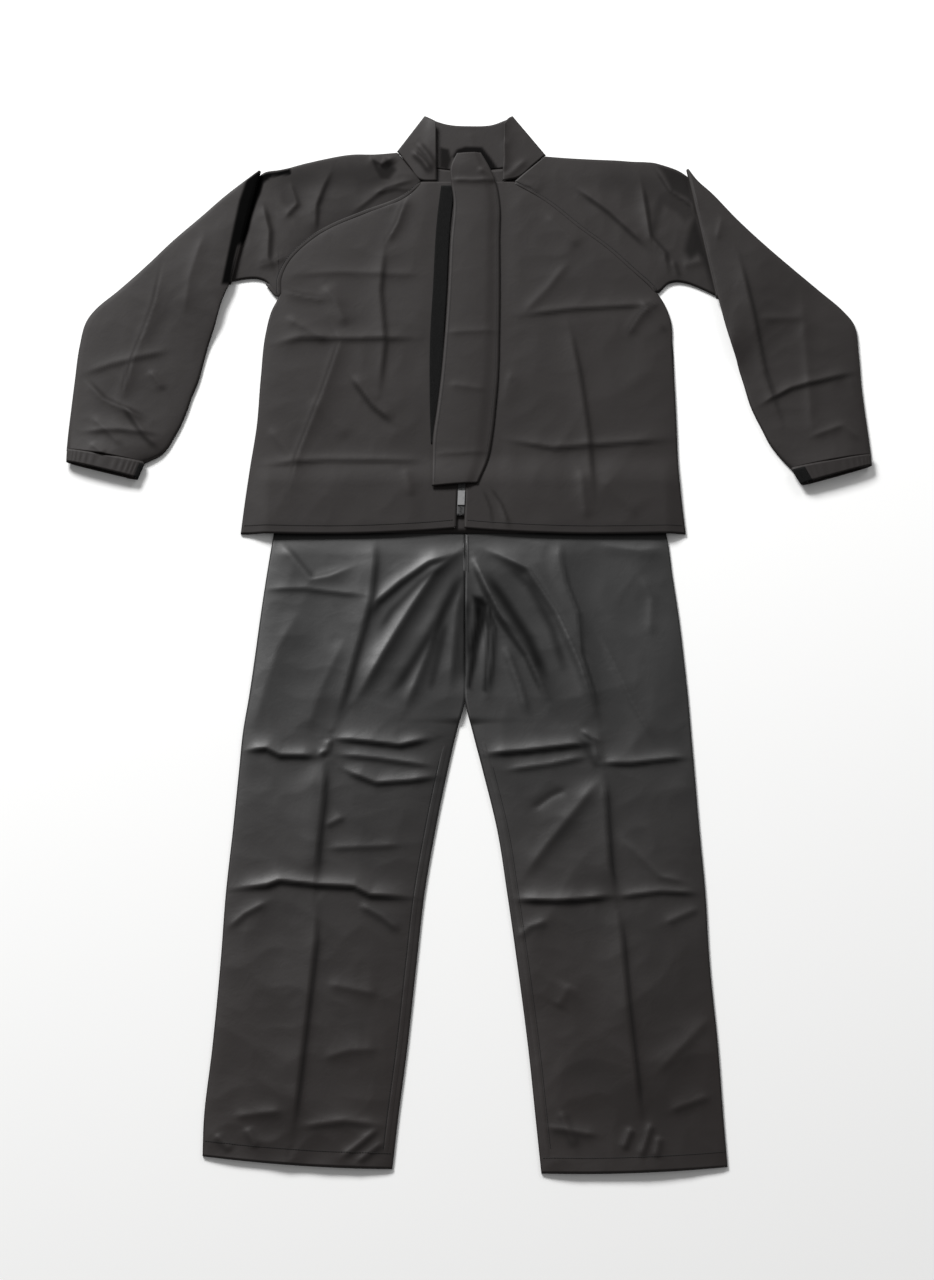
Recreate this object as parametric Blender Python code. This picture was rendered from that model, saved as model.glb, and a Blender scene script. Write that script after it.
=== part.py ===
"""Rain suit laid flat: a raglan jacket with a stand collar, over straight trousers.

Metres, +Z up, +Y towards the collar, +X towards the wearer's left.
The origin is on the surface, under the middle of the suit's box.
"""

import math
from collections import namedtuple

import bmesh
import bpy
from mathutils import Vector

# Driving sizes
WALL = 0.001                # cloth wall
FLAP_WALL = 0.0018          # storm flap, two layers of cloth
TAPE_WALL = 0.001           # hook-and-loop tape
SEAM_GAP = 0.0003           # between pieces that meet at a seam
LAYER = WALL + SEAM_GAP     # centre to centre of two layers that lie on each other
FLOOR_LAYER = WALL / 2      # centre height of a layer on the surface

JACKET_HEM_AT = Vector((-0.0035, 0.1175, 0.0))     # middle of the jacket's hem line
TROUSER_HEM_AT = Vector((-0.0035, -0.8535, 0.0))   # middle of the trouser hem line

TUBE_HALF = 0.0012          # half the height of a flattened sleeve at its folded edge
TUBE_SEAM_HALF = LAYER / 2  # half the height of a flattened sleeve at its seam
TUBE_LOW = FLOOR_LAYER + TUBE_HALF     # centre height of a sleeve on the surface
PLEAT_STEP = 0.0037         # centre to centre of two folded runs of a sleeve

TROUSER_PUFF = 0.0022       # how far the trouser fronts stand off the backs
JACKET_PUFF = 0.0020        # how far the jacket fronts stand off the back
PUFF_REACH = 0.030          # distance from an edge over which the cloth rises

COVER_LIFT = 2 * LAYER + TROUSER_PUFF    # lifts the jacket's back onto the trousers' fronts
COVER_TOP = 0.078           # above the jacket's hem, where the waistband ends
COVER_RAMP = 0.055          # length over which the back comes down to the surface
RAMP_ROWS = 4               # rows of cloth over that length
RAMP_NEAR = 0.002           # closer than this to a row, no other is added
COVER_SIDE = 0.297          # half width of what lies under the jacket's hem
COVER_SIDE_RAMP = 0.035

HEM_BOW = 0.004             # how far the middle of each hem hangs below its ends
WAIST_BOTTOM = 1.000        # above the trouser hem
WAIST_HEIGHT = 0.040
WAIST_HALF_WIDTH = 0.268
WAIST_HALF_HEIGHT = 0.0014
WAIST_SIDES = 24
CROTCH_HEIGHT = 0.660       # above the trouser hem
CROTCH_BLEND = 0.050
CENTRE_SEAM_X = -0.003      # the trousers' centre seam
FOLDS_FADE_FROM = 0.930     # above the trouser hem, folds flatten towards the jacket
FOLDS_FADE_TO = 0.962

ZIP_LEAN = 0.0336           # the zip's line leans towards the wearer's left, going up
ZIP_FOOT_X = -0.0105        # where the zip's line meets the hem
ZIP_HALF_GAP = 0.006        # from the zip's line to the edge of each front
FLAT_BESIDE_ZIP = 0.062     # this far from the zip's line the fronts have no folds

ARMHOLE_FOOT = 0.400        # above the jacket's hem, where the raglan seams start
ARMHOLE_BLEND = 0.060
FRONT_HEM_RISE = 0.007      # of the fronts over the back
RAGLAN_PUFF = 0.0008
FLAP_ARCH = 0.0012          # rise of the storm flap's middle
FLAP_NECK_LIFT = 0.0030     # rise of its top, over the collar
FLAP_NECK = 0.600
FLAP_NECK_BLEND = 0.050

MOUTH_HALF = 0.0056         # half the height of the gaping cuffs
CUFF_SIDES = 22
CUFF_ROUNDING = 0.7         # under 1, the flattened ring is fuller than an ellipse
TAB_START = 0.12            # shares of the cuff's length
TAB_END = 0.95
TAPE_WIDTH = 0.022

# Named columns
Point = namedtuple("Point", "x y")
Band = namedtuple("Band", "outer_x outer_y inner_x inner_y")
Across = namedtuple("Across", "right_x right_y left_x left_y")
Raglan = namedtuple("Raglan", "top_x top_y front_x front_y back_x back_y")
Arm = namedtuple("Arm", "top_x top_y seam_x seam_y height puff")
Collar = namedtuple("Collar", "foot_x foot_y rim_x rim_y foot_z rim_z")
Fold = namedtuple("Fold", "start_x start_y end_x end_y width lift")

# Trouser legs: the side edge and the inner edge at each section, hem to waist
LEG_RIGHT = [
    Band(-0.3625, 0.020, -0.102, 0.002),
    Band(-0.3625, 0.072, -0.0955, 0.066),
    Band(-0.3545, 0.172, -0.0835, 0.168),
    Band(-0.347, 0.300, -0.0705, 0.300),
    Band(-0.343, 0.400, -0.0605, 0.398),
    Band(-0.336, 0.496, -0.0455, 0.494),
    Band(-0.330, 0.590, -0.029, 0.582),
    Band(-0.326, 0.650, -0.015, 0.648),
    Band(-0.3195, 0.700, CENTRE_SEAM_X, 0.697),
    Band(-0.3125, 0.765, CENTRE_SEAM_X, 0.765),
    Band(-0.306, 0.832, CENTRE_SEAM_X, 0.832),
    Band(-0.2985, 0.900, CENTRE_SEAM_X, 0.900),
    Band(-0.290, 0.967, CENTRE_SEAM_X, 0.967),
    Band(-0.285, WAIST_BOTTOM, CENTRE_SEAM_X, WAIST_BOTTOM),
]
LEG_LEFT = [
    Band(0.3565, 0.005, 0.1015, -0.004),
    Band(0.3535, 0.066, 0.095, 0.066),
    Band(0.3495, 0.170, 0.0855, 0.168),
    Band(0.3415, 0.300, 0.070, 0.300),
    Band(0.339, 0.400, 0.057, 0.400),
    Band(0.3335, 0.496, 0.0435, 0.494),
    Band(0.329, 0.590, 0.022, 0.590),
    Band(0.326, 0.650, 0.008, 0.648),
    Band(0.3235, 0.700, CENTRE_SEAM_X, 0.697),
    Band(0.319, 0.765, CENTRE_SEAM_X, 0.765),
    Band(0.3135, 0.832, CENTRE_SEAM_X, 0.832),
    Band(0.306, 0.900, CENTRE_SEAM_X, 0.900),
    Band(0.299, 0.967, CENTRE_SEAM_X, 0.967),
    Band(0.292, WAIST_BOTTOM, CENTRE_SEAM_X, WAIST_BOTTOM),
]

# Folds that stand up from the trouser fronts
TROUSER_FOLDS = [
    Fold(-0.007, 0.934, -0.055, 0.860, 0.017, 0.0060),
    Fold(-0.055, 0.860, -0.128, 0.715, 0.020, 0.0055),
    Fold(-0.018, 0.942, -0.120, 0.880, 0.016, 0.0035),
    Fold(-0.025, 0.876, -0.047, 0.699, 0.012, 0.0040),
    Fold(0.004, 0.939, 0.049, 0.860, 0.018, 0.0070),
    Fold(0.049, 0.860, 0.086, 0.795, 0.020, 0.0070),
    Fold(0.086, 0.795, 0.114, 0.699, 0.022, 0.0045),
    Fold(0.049, 0.945, 0.152, 0.819, 0.022, 0.0040),
    Fold(0.045, 0.800, 0.030, 0.720, 0.012, 0.0030),
    Fold(-0.315, 0.618, -0.199, 0.607, 0.016, 0.0035),
    Fold(-0.192, 0.628, -0.045, 0.606, 0.016, 0.0040),
    Fold(-0.320, 0.412, -0.174, 0.410, 0.016, 0.0035),
    Fold(-0.174, 0.410, -0.080, 0.402, 0.014, 0.0025),
    Fold(0.055, 0.612, 0.182, 0.630, 0.016, 0.0040),
    Fold(0.193, 0.604, 0.300, 0.604, 0.016, 0.0035),
    Fold(0.085, 0.392, 0.317, 0.408, 0.016, 0.0035),
    Fold(0.192, 0.558, 0.083, 0.430, 0.024, 0.0025),
    Fold(0.194, 0.806, 0.273, 0.638, 0.024, 0.0025),
    Fold(-0.205, 0.830, -0.185, 0.700, 0.028, 0.0020),
]

# Jacket sides and raglan seams, hem to neck
FRONT_RIGHT_EDGE = [
    Point(-0.3395, -0.003),
    Point(-0.3345, 0.053),
    Point(-0.329, 0.106),
    Point(-0.3205, 0.182),
    Point(-0.317, 0.261),
    Point(-0.311, 0.345),
    Point(-0.3035, 0.382),
    Point(-0.293, 0.409),
    Point(-0.293, 0.439),
    Point(-0.285, 0.464),
    Point(-0.244, 0.514),
    Point(-0.216, 0.534),
    Point(-0.161, 0.561),
    Point(-0.098, 0.591),
    Point(-0.073, 0.617),
]
FRONT_LEFT_EDGE = [
    Point(0.328, -0.003),
    Point(0.3235, 0.053),
    Point(0.3205, 0.106),
    Point(0.3195, 0.186),
    Point(0.3185, 0.252),
    Point(0.317, 0.314),
    Point(0.3155, 0.367),
    Point(0.307, 0.394),
    Point(0.2955, 0.415),
    Point(0.285, 0.430),
    Point(0.258, 0.458),
    Point(0.224, 0.494),
    Point(0.178, 0.534),
    Point(0.123, 0.585),
    Point(0.075, 0.617),
]
BACK = [
    Across(-0.3395, -0.003, 0.328, -0.003),
    Across(-0.3345, 0.053, 0.3235, 0.053),
    Across(-0.329, 0.106, 0.3205, 0.106),
    Across(-0.3205, 0.182, 0.3195, 0.186),
    Across(-0.317, 0.261, 0.3185, 0.252),
    Across(-0.311, 0.345, 0.3165, 0.335),
    Across(-0.3035, 0.382, 0.307, 0.394),
    Across(-0.293, 0.409, 0.2955, 0.415),
    Across(-0.293, 0.439, 0.285, 0.430),
    Across(-0.285, 0.464, 0.258, 0.458),
    Across(-0.244, 0.514, 0.224, 0.494),
    Across(-0.216, 0.538, 0.200, 0.522),
    Across(-0.165, 0.575, 0.165, 0.562),
    Across(-0.115, 0.622, 0.125, 0.615),
    Across(-0.088, 0.650, 0.095, 0.648),
]
NECK_DIP = 0.014            # how far the back's neck edge sags between its ends

# Raglan part of each sleeve, neck to underarm: shoulder fold, front seam, back seam
RAGLAN_RIGHT = [
    Raglan(-0.111, 0.671, -0.073, 0.617, -0.088, 0.650),
    Raglan(-0.142, 0.668, -0.098, 0.591, -0.115, 0.622),
    Raglan(-0.185, 0.667, -0.161, 0.561, -0.165, 0.575),
    Raglan(-0.225, 0.659, -0.216, 0.534, -0.216, 0.538),
    Raglan(-0.255, 0.651, -0.244, 0.514, -0.244, 0.514),
    Raglan(-0.287, 0.641, -0.285, 0.464, -0.285, 0.464),
    Raglan(-0.300, 0.638, -0.293, 0.439, -0.293, 0.439),
    Raglan(-0.308, 0.637, -0.2935, 0.409, -0.2935, 0.409),
    Raglan(-0.318, 0.635, -0.313, 0.434, -0.313, 0.434),
]
RAGLAN_LEFT = [
    Raglan(0.124, 0.664, 0.075, 0.617, 0.095, 0.648),
    Raglan(0.155, 0.661, 0.123, 0.585, 0.125, 0.615),
    Raglan(0.200, 0.658, 0.178, 0.534, 0.165, 0.562),
    Raglan(0.240, 0.656, 0.224, 0.494, 0.200, 0.522),
    Raglan(0.262, 0.654, 0.258, 0.458, 0.224, 0.494),
    Raglan(0.285, 0.653, 0.285, 0.430, 0.258, 0.458),
    Raglan(0.300, 0.651, 0.2905, 0.4225, 0.285, 0.430),
    Raglan(0.312, 0.647, 0.296, 0.415, 0.296, 0.415),
    Raglan(0.325, 0.642, 0.313, 0.430, 0.313, 0.430),
]

# Arms, shoulder to cuff: outer fold, underarm seam, centre height over the pleat, puff
PLEAT_TOP = TUBE_LOW + 2 * PLEAT_STEP
HIDDEN_FOLD_RIGHT = Arm(-0.336, 0.620, -0.398, 0.429, TUBE_LOW, 0.0)
SHOWN_FOLD_RIGHT = Arm(-0.330, 0.633, -0.370, 0.428, TUBE_LOW + PLEAT_STEP, 0.0)
ARM_RIGHT = [
    Arm(-0.350, 0.615, -0.372, 0.421, PLEAT_TOP, 0.0005),
    Arm(-0.380, 0.587, -0.376, 0.411, PLEAT_TOP, 0.0010),
    Arm(-0.416, 0.549, -0.381, 0.395, PLEAT_TOP, 0.0015),
    Arm(-0.463, 0.500, -0.386, 0.372, PLEAT_TOP, 0.0015),
    Arm(-0.496, 0.464, -0.391, 0.350, 0.0060, 0.0020),
    Arm(-0.541, 0.418, -0.399, 0.320, 0.0027, 0.0025),
    Arm(-0.575, 0.385, -0.405, 0.292, TUBE_LOW, 0.0025),
    Arm(-0.589, 0.362, -0.411, 0.262, TUBE_LOW, 0.0025),
    Arm(-0.597, 0.318, -0.421, 0.230, TUBE_LOW, 0.0025),
    Arm(-0.601, 0.258, -0.430, 0.198, TUBE_LOW, 0.0030),
    Arm(-0.604, 0.205, -0.443, 0.165, TUBE_LOW, 0.0045),
    Arm(-0.606, 0.168, -0.462, 0.132, TUBE_LOW, 0.0065),
    Arm(-0.607, 0.138, -0.489, 0.116, TUBE_LOW, 2 * MOUTH_HALF - 2 * TUBE_HALF),
]
HIDDEN_FOLD_LEFT = Arm(0.356, 0.621, 0.416, 0.396, TUBE_LOW, 0.0)
SHOWN_FOLD_LEFT = Arm(0.351, 0.636, 0.390, 0.402, TUBE_LOW + PLEAT_STEP, 0.0)
ARM_LEFT = [
    Arm(0.362, 0.618, 0.392, 0.393, PLEAT_TOP, 0.0005),
    Arm(0.387, 0.590, 0.396, 0.372, PLEAT_TOP, 0.0010),
    Arm(0.424, 0.543, 0.4015, 0.346, PLEAT_TOP, 0.0015),
    Arm(0.473, 0.488, 0.4085, 0.317, PLEAT_TOP, 0.0015),
    Arm(0.511, 0.451, 0.414, 0.297, 0.0060, 0.0020),
    Arm(0.548, 0.416, 0.4185, 0.276, 0.0027, 0.0025),
    Arm(0.582, 0.382, 0.425, 0.250, TUBE_LOW, 0.0025),
    Arm(0.599, 0.356, 0.431, 0.223, TUBE_LOW, 0.0025),
    Arm(0.603, 0.305, 0.4385, 0.200, TUBE_LOW, 0.0025),
    Arm(0.604, 0.252, 0.449, 0.175, TUBE_LOW, 0.0030),
    Arm(0.607, 0.200, 0.461, 0.147, TUBE_LOW, 0.0045),
    Arm(0.610, 0.160, 0.477, 0.123, TUBE_LOW, 0.0065),
    Arm(0.612, 0.129, 0.491, 0.106, TUBE_LOW, 2 * MOUTH_HALF - 2 * TUBE_HALF),
]
CUFF_RIGHT = Band(-0.607, 0.117, -0.499, 0.088)    # the cuff's mouth
CUFF_LEFT = Band(0.613, 0.111, 0.506, 0.078)

# Folds that stand up from the jacket's fronts and sleeves
JACKET_FOLDS = [
    Fold(-0.129, 0.500, -0.136, 0.250, 0.020, 0.0020),
    Fold(-0.164, 0.439, -0.247, 0.183, 0.020, 0.0025),
    Fold(-0.247, 0.183, -0.282, 0.100, 0.020, 0.0020),
    Fold(-0.187, 0.235, -0.075, 0.146, 0.020, 0.0020),
    Fold(-0.282, 0.343, -0.090, 0.343, 0.016, 0.0015),
    Fold(-0.245, 0.421, -0.204, 0.350, 0.016, 0.0020),
    Fold(-0.300, 0.128, -0.090, 0.128, 0.016, 0.0015),
    Fold(0.160, 0.403, 0.188, 0.166, 0.020, 0.0020),
    Fold(0.188, 0.166, 0.203, 0.040, 0.020, 0.0030),
    Fold(0.100, 0.375, 0.292, 0.392, 0.016, 0.0015),
    Fold(0.085, 0.140, 0.293, 0.146, 0.016, 0.0015),
    Fold(0.216, 0.470, 0.285, 0.415, 0.018, 0.0025),
]
SLEEVE_FOLDS = [
    Fold(-0.205, 0.655, -0.237, 0.540, 0.020, 0.0030),
    Fold(-0.155, 0.648, -0.115, 0.640, 0.016, 0.0040),
    Fold(0.229, 0.640, 0.227, 0.558, 0.020, 0.0030),
    Fold(0.302, 0.640, 0.335, 0.580, 0.018, 0.0045),
    Fold(-0.487, 0.430, -0.544, 0.258, 0.022, 0.0035),
    Fold(-0.575, 0.255, -0.451, 0.215, 0.020, 0.0035),
    Fold(-0.548, 0.240, -0.510, 0.188, 0.018, 0.0030),
    Fold(0.429, 0.472, 0.462, 0.244, 0.020, 0.0030),
    Fold(0.513, 0.385, 0.502, 0.160, 0.020, 0.0040),
    Fold(0.464, 0.226, 0.577, 0.274, 0.020, 0.0035),
]

# Collar, from the wearer's right front edge round the back to the left front edge
COLLAR = [
    Collar(-0.048, 0.618, -0.050, 0.7275, 0.0040, 0.0085),
    Collar(-0.073, 0.620, -0.056, 0.7325, 0.0038, 0.0065),
    Collar(-0.091, 0.645, -0.061, 0.7365, 0.0034, 0.0045),
    Collar(-0.110, 0.674, -0.067, 0.7405, 0.0029, 0.0029),
    Collar(-0.087, 0.653, -0.058, 0.7355, FLOOR_LAYER, FLOOR_LAYER),
    Collar(-0.045, 0.643, -0.030, 0.7255, FLOOR_LAYER, 0.0010),
    Collar(0.002, 0.639, 0.003, 0.7225, FLOOR_LAYER, 0.0015),
    Collar(0.050, 0.643, 0.038, 0.7245, FLOOR_LAYER, 0.0010),
    Collar(0.095, 0.652, 0.062, 0.7345, FLOOR_LAYER, FLOOR_LAYER),
    Collar(0.124, 0.667, 0.072, 0.7405, 0.0029, 0.0029),
    Collar(0.106, 0.649, 0.067, 0.7365, 0.0034, 0.0045),
    Collar(0.080, 0.624, 0.063, 0.7305, 0.0038, 0.0065),
    Collar(0.056, 0.618, 0.060, 0.7235, 0.0040, 0.0085),
]
RIGHT_TURN = 3              # rows of COLLAR at which the strip turns back
LEFT_TURN = 9

# Storm flap: free edge and seam edge, bottom to top
FLAP = [
    Band(-0.053, 0.073, 0.016, 0.079),
    Band(-0.053, 0.110, 0.031, 0.120),
    Band(-0.052, 0.155, 0.039, 0.165),
    Band(-0.046, 0.205, 0.044, 0.215),
    Band(-0.040, 0.261, 0.048, 0.265),
    Band(-0.034, 0.340, 0.050, 0.343),
    Band(-0.030, 0.403, 0.051, 0.405),
    Band(-0.026, 0.500, 0.051, 0.500),
    Band(-0.022, 0.590, 0.050, 0.590),
    Band(-0.025, 0.612, 0.046, 0.612),
    Band(-0.026, 0.640, 0.036, 0.640),
    Band(-0.016, 0.666, 0.022, 0.668),
]
# Free edge of the hook-and-loop strip, bottom to top
HOOK_TAPE = [
    Point(-0.055, 0.149),
    Point(-0.057, 0.226),
    Point(-0.057, 0.332),
    Point(-0.053, 0.421),
    Point(-0.047, 0.549),
    Point(-0.041, 0.609),
]

ZIP_FOOT = 0.025            # heights above the hem
ZIP_HEAD = 0.612
ZIP_END_FOOT = 0.042
ZIP_END_LENGTH = 0.024
ZIP_END_HALF_WIDTH = 0.0052
SLIDER_HEIGHT = 0.585
SLIDER_SIZE = Vector((0.008, 0.012, 0.0012))
SLIDER_BEVEL = 0.0003

Look = namedtuple("Look", "colour roughness metallic")
JACKET_CLOTH = Look((0.036, 0.034, 0.034), 0.55, 0.0)
TROUSER_CLOTH = Look((0.026, 0.027, 0.028), 0.42, 0.0)
HOOK_CLOTH = Look((0.008, 0.008, 0.008), 0.9, 0.0)
ZIP_CLOTH = Look((0.03, 0.03, 0.03), 0.7, 0.0)
ZIP_FILM = Look((0.30, 0.30, 0.31), 0.4, 0.0)
SLIDER_METAL = Look((0.02, 0.02, 0.02), 0.45, 0.0)


def clear_scene():
    for item in list(bpy.data.objects):
        bpy.data.objects.remove(item, do_unlink=True)


def material(name, look):
    made = bpy.data.materials.new(name)
    made.use_nodes = True
    shader = made.node_tree.nodes["Principled BSDF"]
    shader.inputs["Base Color"].default_value = (*look.colour, 1.0)
    shader.inputs["Roughness"].default_value = look.roughness
    shader.inputs["Metallic"].default_value = look.metallic
    return made


def smooth_step(value):
    held = min(1.0, max(0.0, value))
    return held * held * (3 - 2 * held)


def mix(start, end, share):
    return start + (end - start) * share


def mixed_row(first, second, share):
    return type(first)(*(mix(a, b, share) for a, b in zip(first, second)))


def with_rows_between(rows, parts):
    """The same rows with parts - 1 more between each two."""
    filled = []
    for first, second in zip(rows, rows[1:]):
        for step in range(parts):
            filled.append(mixed_row(first, second, step / parts))
    filled.append(rows[-1])
    return filled


def with_ramp_rows(rows, height_of):
    """The rows, with more where the jacket comes down from the trousers to the surface."""
    filled = list(rows)
    for step in range(RAMP_ROWS + 1):
        height = COVER_TOP + COVER_RAMP * step / RAMP_ROWS
        for index in range(len(filled) - 1):
            low, high = height_of(filled[index]), height_of(filled[index + 1])
            if low < height - RAMP_NEAR and height + RAMP_NEAR < high:
                share = (height - low) / (high - low)
                filled.insert(index + 1, mixed_row(filled[index], filled[index + 1], share))
                break
    return filled


def squared_off(value, power):
    """A sine or cosine pushed out towards a rectangle; a power of 1 leaves it as it is."""
    return math.copysign(abs(value) ** power, value)


def hem_bow(row, share):
    return HEM_BOW * 4 * share * (1 - share) if row == 0 else 0.0


def fold_lift(x, y, folds):
    """Height that the folds add at a point: each is a soft ridge along its line."""
    total = 0.0
    for fold in folds:
        start = Vector((fold.start_x, fold.start_y))
        run = Vector((fold.end_x, fold.end_y)) - start
        along = (Vector((x, y)) - start).dot(run) / run.length_squared
        nearest = start + run * min(1.0, max(0.0, along))
        distance = (Vector((x, y)) - nearest).length
        total += fold.lift * math.exp(-((distance / fold.width) ** 2))
    return total


def thicken(piece, thickness, stand):
    """Give a surface its wall, centred on it or on a surface that stands off it."""
    solidify = piece.modifiers.new("Cloth wall", "SOLIDIFY")
    solidify.thickness = thickness
    solidify.offset = 2 * stand / thickness
    solidify.use_even_offset = True
    solidify.use_quality_normals = True


def finished(name, mesh_data, look, at, thickness=None, stand=0.0):
    mesh = bpy.data.meshes.new(name)
    mesh_data.to_mesh(mesh)
    mesh_data.free()
    piece = bpy.data.objects.new(name, mesh)
    bpy.context.collection.objects.link(piece)
    piece.location = at
    mesh.materials.append(material(name + " look", look))
    if thickness:
        thicken(piece, thickness, stand)
    mesh.shade_smooth()
    mesh.set_sharp_from_angle(angle=math.radians(50))
    return piece


def sheet(name, columns, rows, place, look, at, thickness=WALL, stand=0.0):
    """A cloth panel: a grid of columns by rows, each point put where place says."""
    shape = bmesh.new()
    bmesh.ops.create_grid(shape, x_segments=columns, y_segments=rows, size=0.5)
    for vert in shape.verts:
        column = round((vert.co.x + 0.5) * columns)
        row = round((vert.co.y + 0.5) * rows)
        vert.co = place(column, row)
    return finished(name, shape, look, at, thickness, stand)


def ring(name, sides, place, look, at, thickness):
    """A short open tube: a point for each side at its foot and at its mouth."""
    shape = bmesh.new()
    bmesh.ops.create_cone(shape, cap_ends=False, segments=sides, radius1=1.0, radius2=1.0, depth=2.0)
    for vert in shape.verts:
        turn = math.atan2(vert.co.y, vert.co.x)
        end = 0 if vert.co.z < 0 else 1
        vert.co = place(turn, end)
    return finished(name, shape, look, at, thickness)


# Trousers

def leg_lift(x, y, from_side, from_inner):
    """Height of a trouser front over the lowest it can lie, puff and folds together."""
    side_rise = 1 - math.exp(-from_side / PUFF_REACH)
    inner_rise = 1 - math.exp(-from_inner / PUFF_REACH)
    edge_rise = min(side_rise, inner_rise)
    towards_jacket = 1 - smooth_step((y - FOLDS_FADE_FROM) / (FOLDS_FADE_TO - FOLDS_FADE_FROM))
    return edge_rise * (TROUSER_PUFF + fold_lift(x, y, TROUSER_FOLDS) * towards_jacket)


def leg_front_height(x, y, outer_x, inner_x):
    """The centre seam is no edge: there both fronts are one surface."""
    above_crotch = smooth_step((y - CROTCH_HEIGHT) / CROTCH_BLEND)
    from_side = abs(x - outer_x)
    from_inner = abs(x - inner_x) + above_crotch
    return FLOOR_LAYER + LAYER + leg_lift(x, y, from_side, from_inner)


def inset(row, side, gap):
    """The row with its inner end moved back from the centre line by half a seam's gap."""
    return row._replace(inner_x=row.inner_x + side * gap / 2)


def trouser_panel(name, table, side, columns, parts, front):
    rows = [inset(row, side, SEAM_GAP) for row in with_rows_between(table, parts)]

    def place(column, row):
        band = rows[row]
        share = column / columns
        x = mix(band.outer_x, band.inner_x, share)
        y = mix(band.outer_y, band.inner_y, share)
        z = leg_front_height(x, y, band.outer_x, band.inner_x) if front else FLOOR_LAYER
        return Vector((x, y - hem_bow(row, share), z))

    return sheet(name, columns, len(rows) - 1, place, TROUSER_CLOTH, TROUSER_HEM_AT)


def waistband():
    """Elastic waistband, flattened: a ring as high as its two layers."""
    centre_z = WALL / 2 + WAIST_HALF_HEIGHT

    def place(turn, end):
        x = WAIST_HALF_WIDTH * squared_off(math.cos(turn), 0.5)
        z = centre_z + WAIST_HALF_HEIGHT * squared_off(math.sin(turn), 0.35)
        y = WAIST_BOTTOM + SEAM_GAP + end * WAIST_HEIGHT
        return Vector((x + CENTRE_SEAM_X, y, z))

    return ring("waistband", WAIST_SIDES, place, TROUSER_CLOTH, TROUSER_HEM_AT, WALL)


# Jacket body

def zip_line(y):
    return ZIP_FOOT_X + ZIP_LEAN * y


def cover_lift(x, y):
    """How far the jacket's back is lifted by the trousers that it lies on."""
    down_body = 1 - smooth_step((y - COVER_TOP) / COVER_RAMP)
    out_to_side = 1 - smooth_step((abs(x) - COVER_SIDE) / COVER_SIDE_RAMP)
    return COVER_LIFT * down_body * out_to_side


def front_height(x, y, side_x):
    """Centre height of the jacket's fronts."""
    rise = 1 - math.exp(-abs(x - side_x) / PUFF_REACH)
    near_zip = smooth_step((abs(x - zip_line(y)) - FLAT_BESIDE_ZIP) / FLAT_BESIDE_ZIP)
    puff = JACKET_PUFF + near_zip * fold_lift(x, y, JACKET_FOLDS)
    beside_sleeve = TUBE_LOW + TUBE_HALF - FLOOR_LAYER - LAYER
    at_raglan = smooth_step((y - ARMHOLE_FOOT) / ARMHOLE_BLEND) * beside_sleeve * (1 - rise)
    return FLOOR_LAYER + cover_lift(x, y) + LAYER + at_raglan + rise * puff


def placket_height(x, y):
    """Centre height of the fronts beside the zip, far from the sides."""
    return FLOOR_LAYER + cover_lift(x, y) + LAYER + JACKET_PUFF


def jacket_back():
    columns = 14
    rows = with_ramp_rows(BACK, lambda across: across.right_y)

    def place(column, row):
        across = rows[row]
        share = column / columns
        x = mix(across.right_x, across.left_x, share)
        y = mix(across.right_y, across.left_y, share)
        if row == len(rows) - 1:
            y -= NECK_DIP * 4 * share * (1 - share)
        return Vector((x, y, FLOOR_LAYER + cover_lift(x, y)))

    return sheet("jacket_back", columns, len(rows) - 1, place, JACKET_CLOTH, JACKET_HEM_AT)


def jacket_front(name, edge, side):
    """A front from its side seam and raglan seam to the zip; side is -1 on the wearer's right."""
    columns = 10
    rows = with_ramp_rows(edge, lambda point: point.y)

    def place(column, row):
        seam = rows[row]
        centre_y = seam.y + (FRONT_HEM_RISE if row == 0 else 0.0)
        centre_x = zip_line(centre_y) + side * ZIP_HALF_GAP
        share = column / columns
        x = mix(seam.x, centre_x, share)
        y = mix(seam.y, centre_y, share ** 3)
        return Vector((x, y - hem_bow(row, share), front_height(x, y, seam.x)))

    return sheet(name, columns, len(rows) - 1, place, JACKET_CLOTH, JACKET_HEM_AT)


# Sleeves

Frame = namedtuple("Frame", "top front back normal edge_half seam_half puff open_seam")


def flat_frame(top, front, back, height, seam_half, puff, open_seam):
    lift = Vector((0, 0, height))
    return Frame(top + lift, front + lift, back + lift, Vector((0, 0, 1)), TUBE_HALF, seam_half, puff,
                 open_seam)


def raglan_frames(table):
    """Between the raglan seams the tube is open; below the underarm, three rows close it."""
    closed_by = len(table) - 1
    closing_from = closed_by - 3
    frames = []
    for index, row in enumerate(table):
        top = Vector((row.top_x, row.top_y, 0))
        front = Vector((row.front_x, row.front_y, 0))
        back = Vector((row.back_x, row.back_y, 0))
        closing = smooth_step((index - closing_from) / (closed_by - closing_from))
        seam_half = mix(TUBE_HALF, TUBE_SEAM_HALF, closing)
        frames.append(flat_frame(top, front, back, TUBE_LOW, seam_half, RAGLAN_PUFF, closing < 1))
    return frames


def turned_frames(row, outwards, underside_up):
    """The tube turning back on itself over a fold line, in five steps of a half circle."""
    radius = PLEAT_STEP / 2
    middle_z = row.height + radius
    frames = []
    for step in range(5):
        angle = math.pi * step / 4
        shift = outwards * (radius * math.sin(angle)) + Vector((0, 0, middle_z - radius * math.cos(angle)))
        top = Vector((row.top_x, row.top_y, 0)) + shift
        seam = Vector((row.seam_x, row.seam_y, 0)) + shift
        normal = Vector((0, 0, math.cos(angle))) - outwards * math.sin(angle)
        if underside_up:
            normal.negate()
        frames.append(Frame(top, seam, seam, normal, TUBE_HALF, TUBE_SEAM_HALF, 0.0, False))
    return frames


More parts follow.
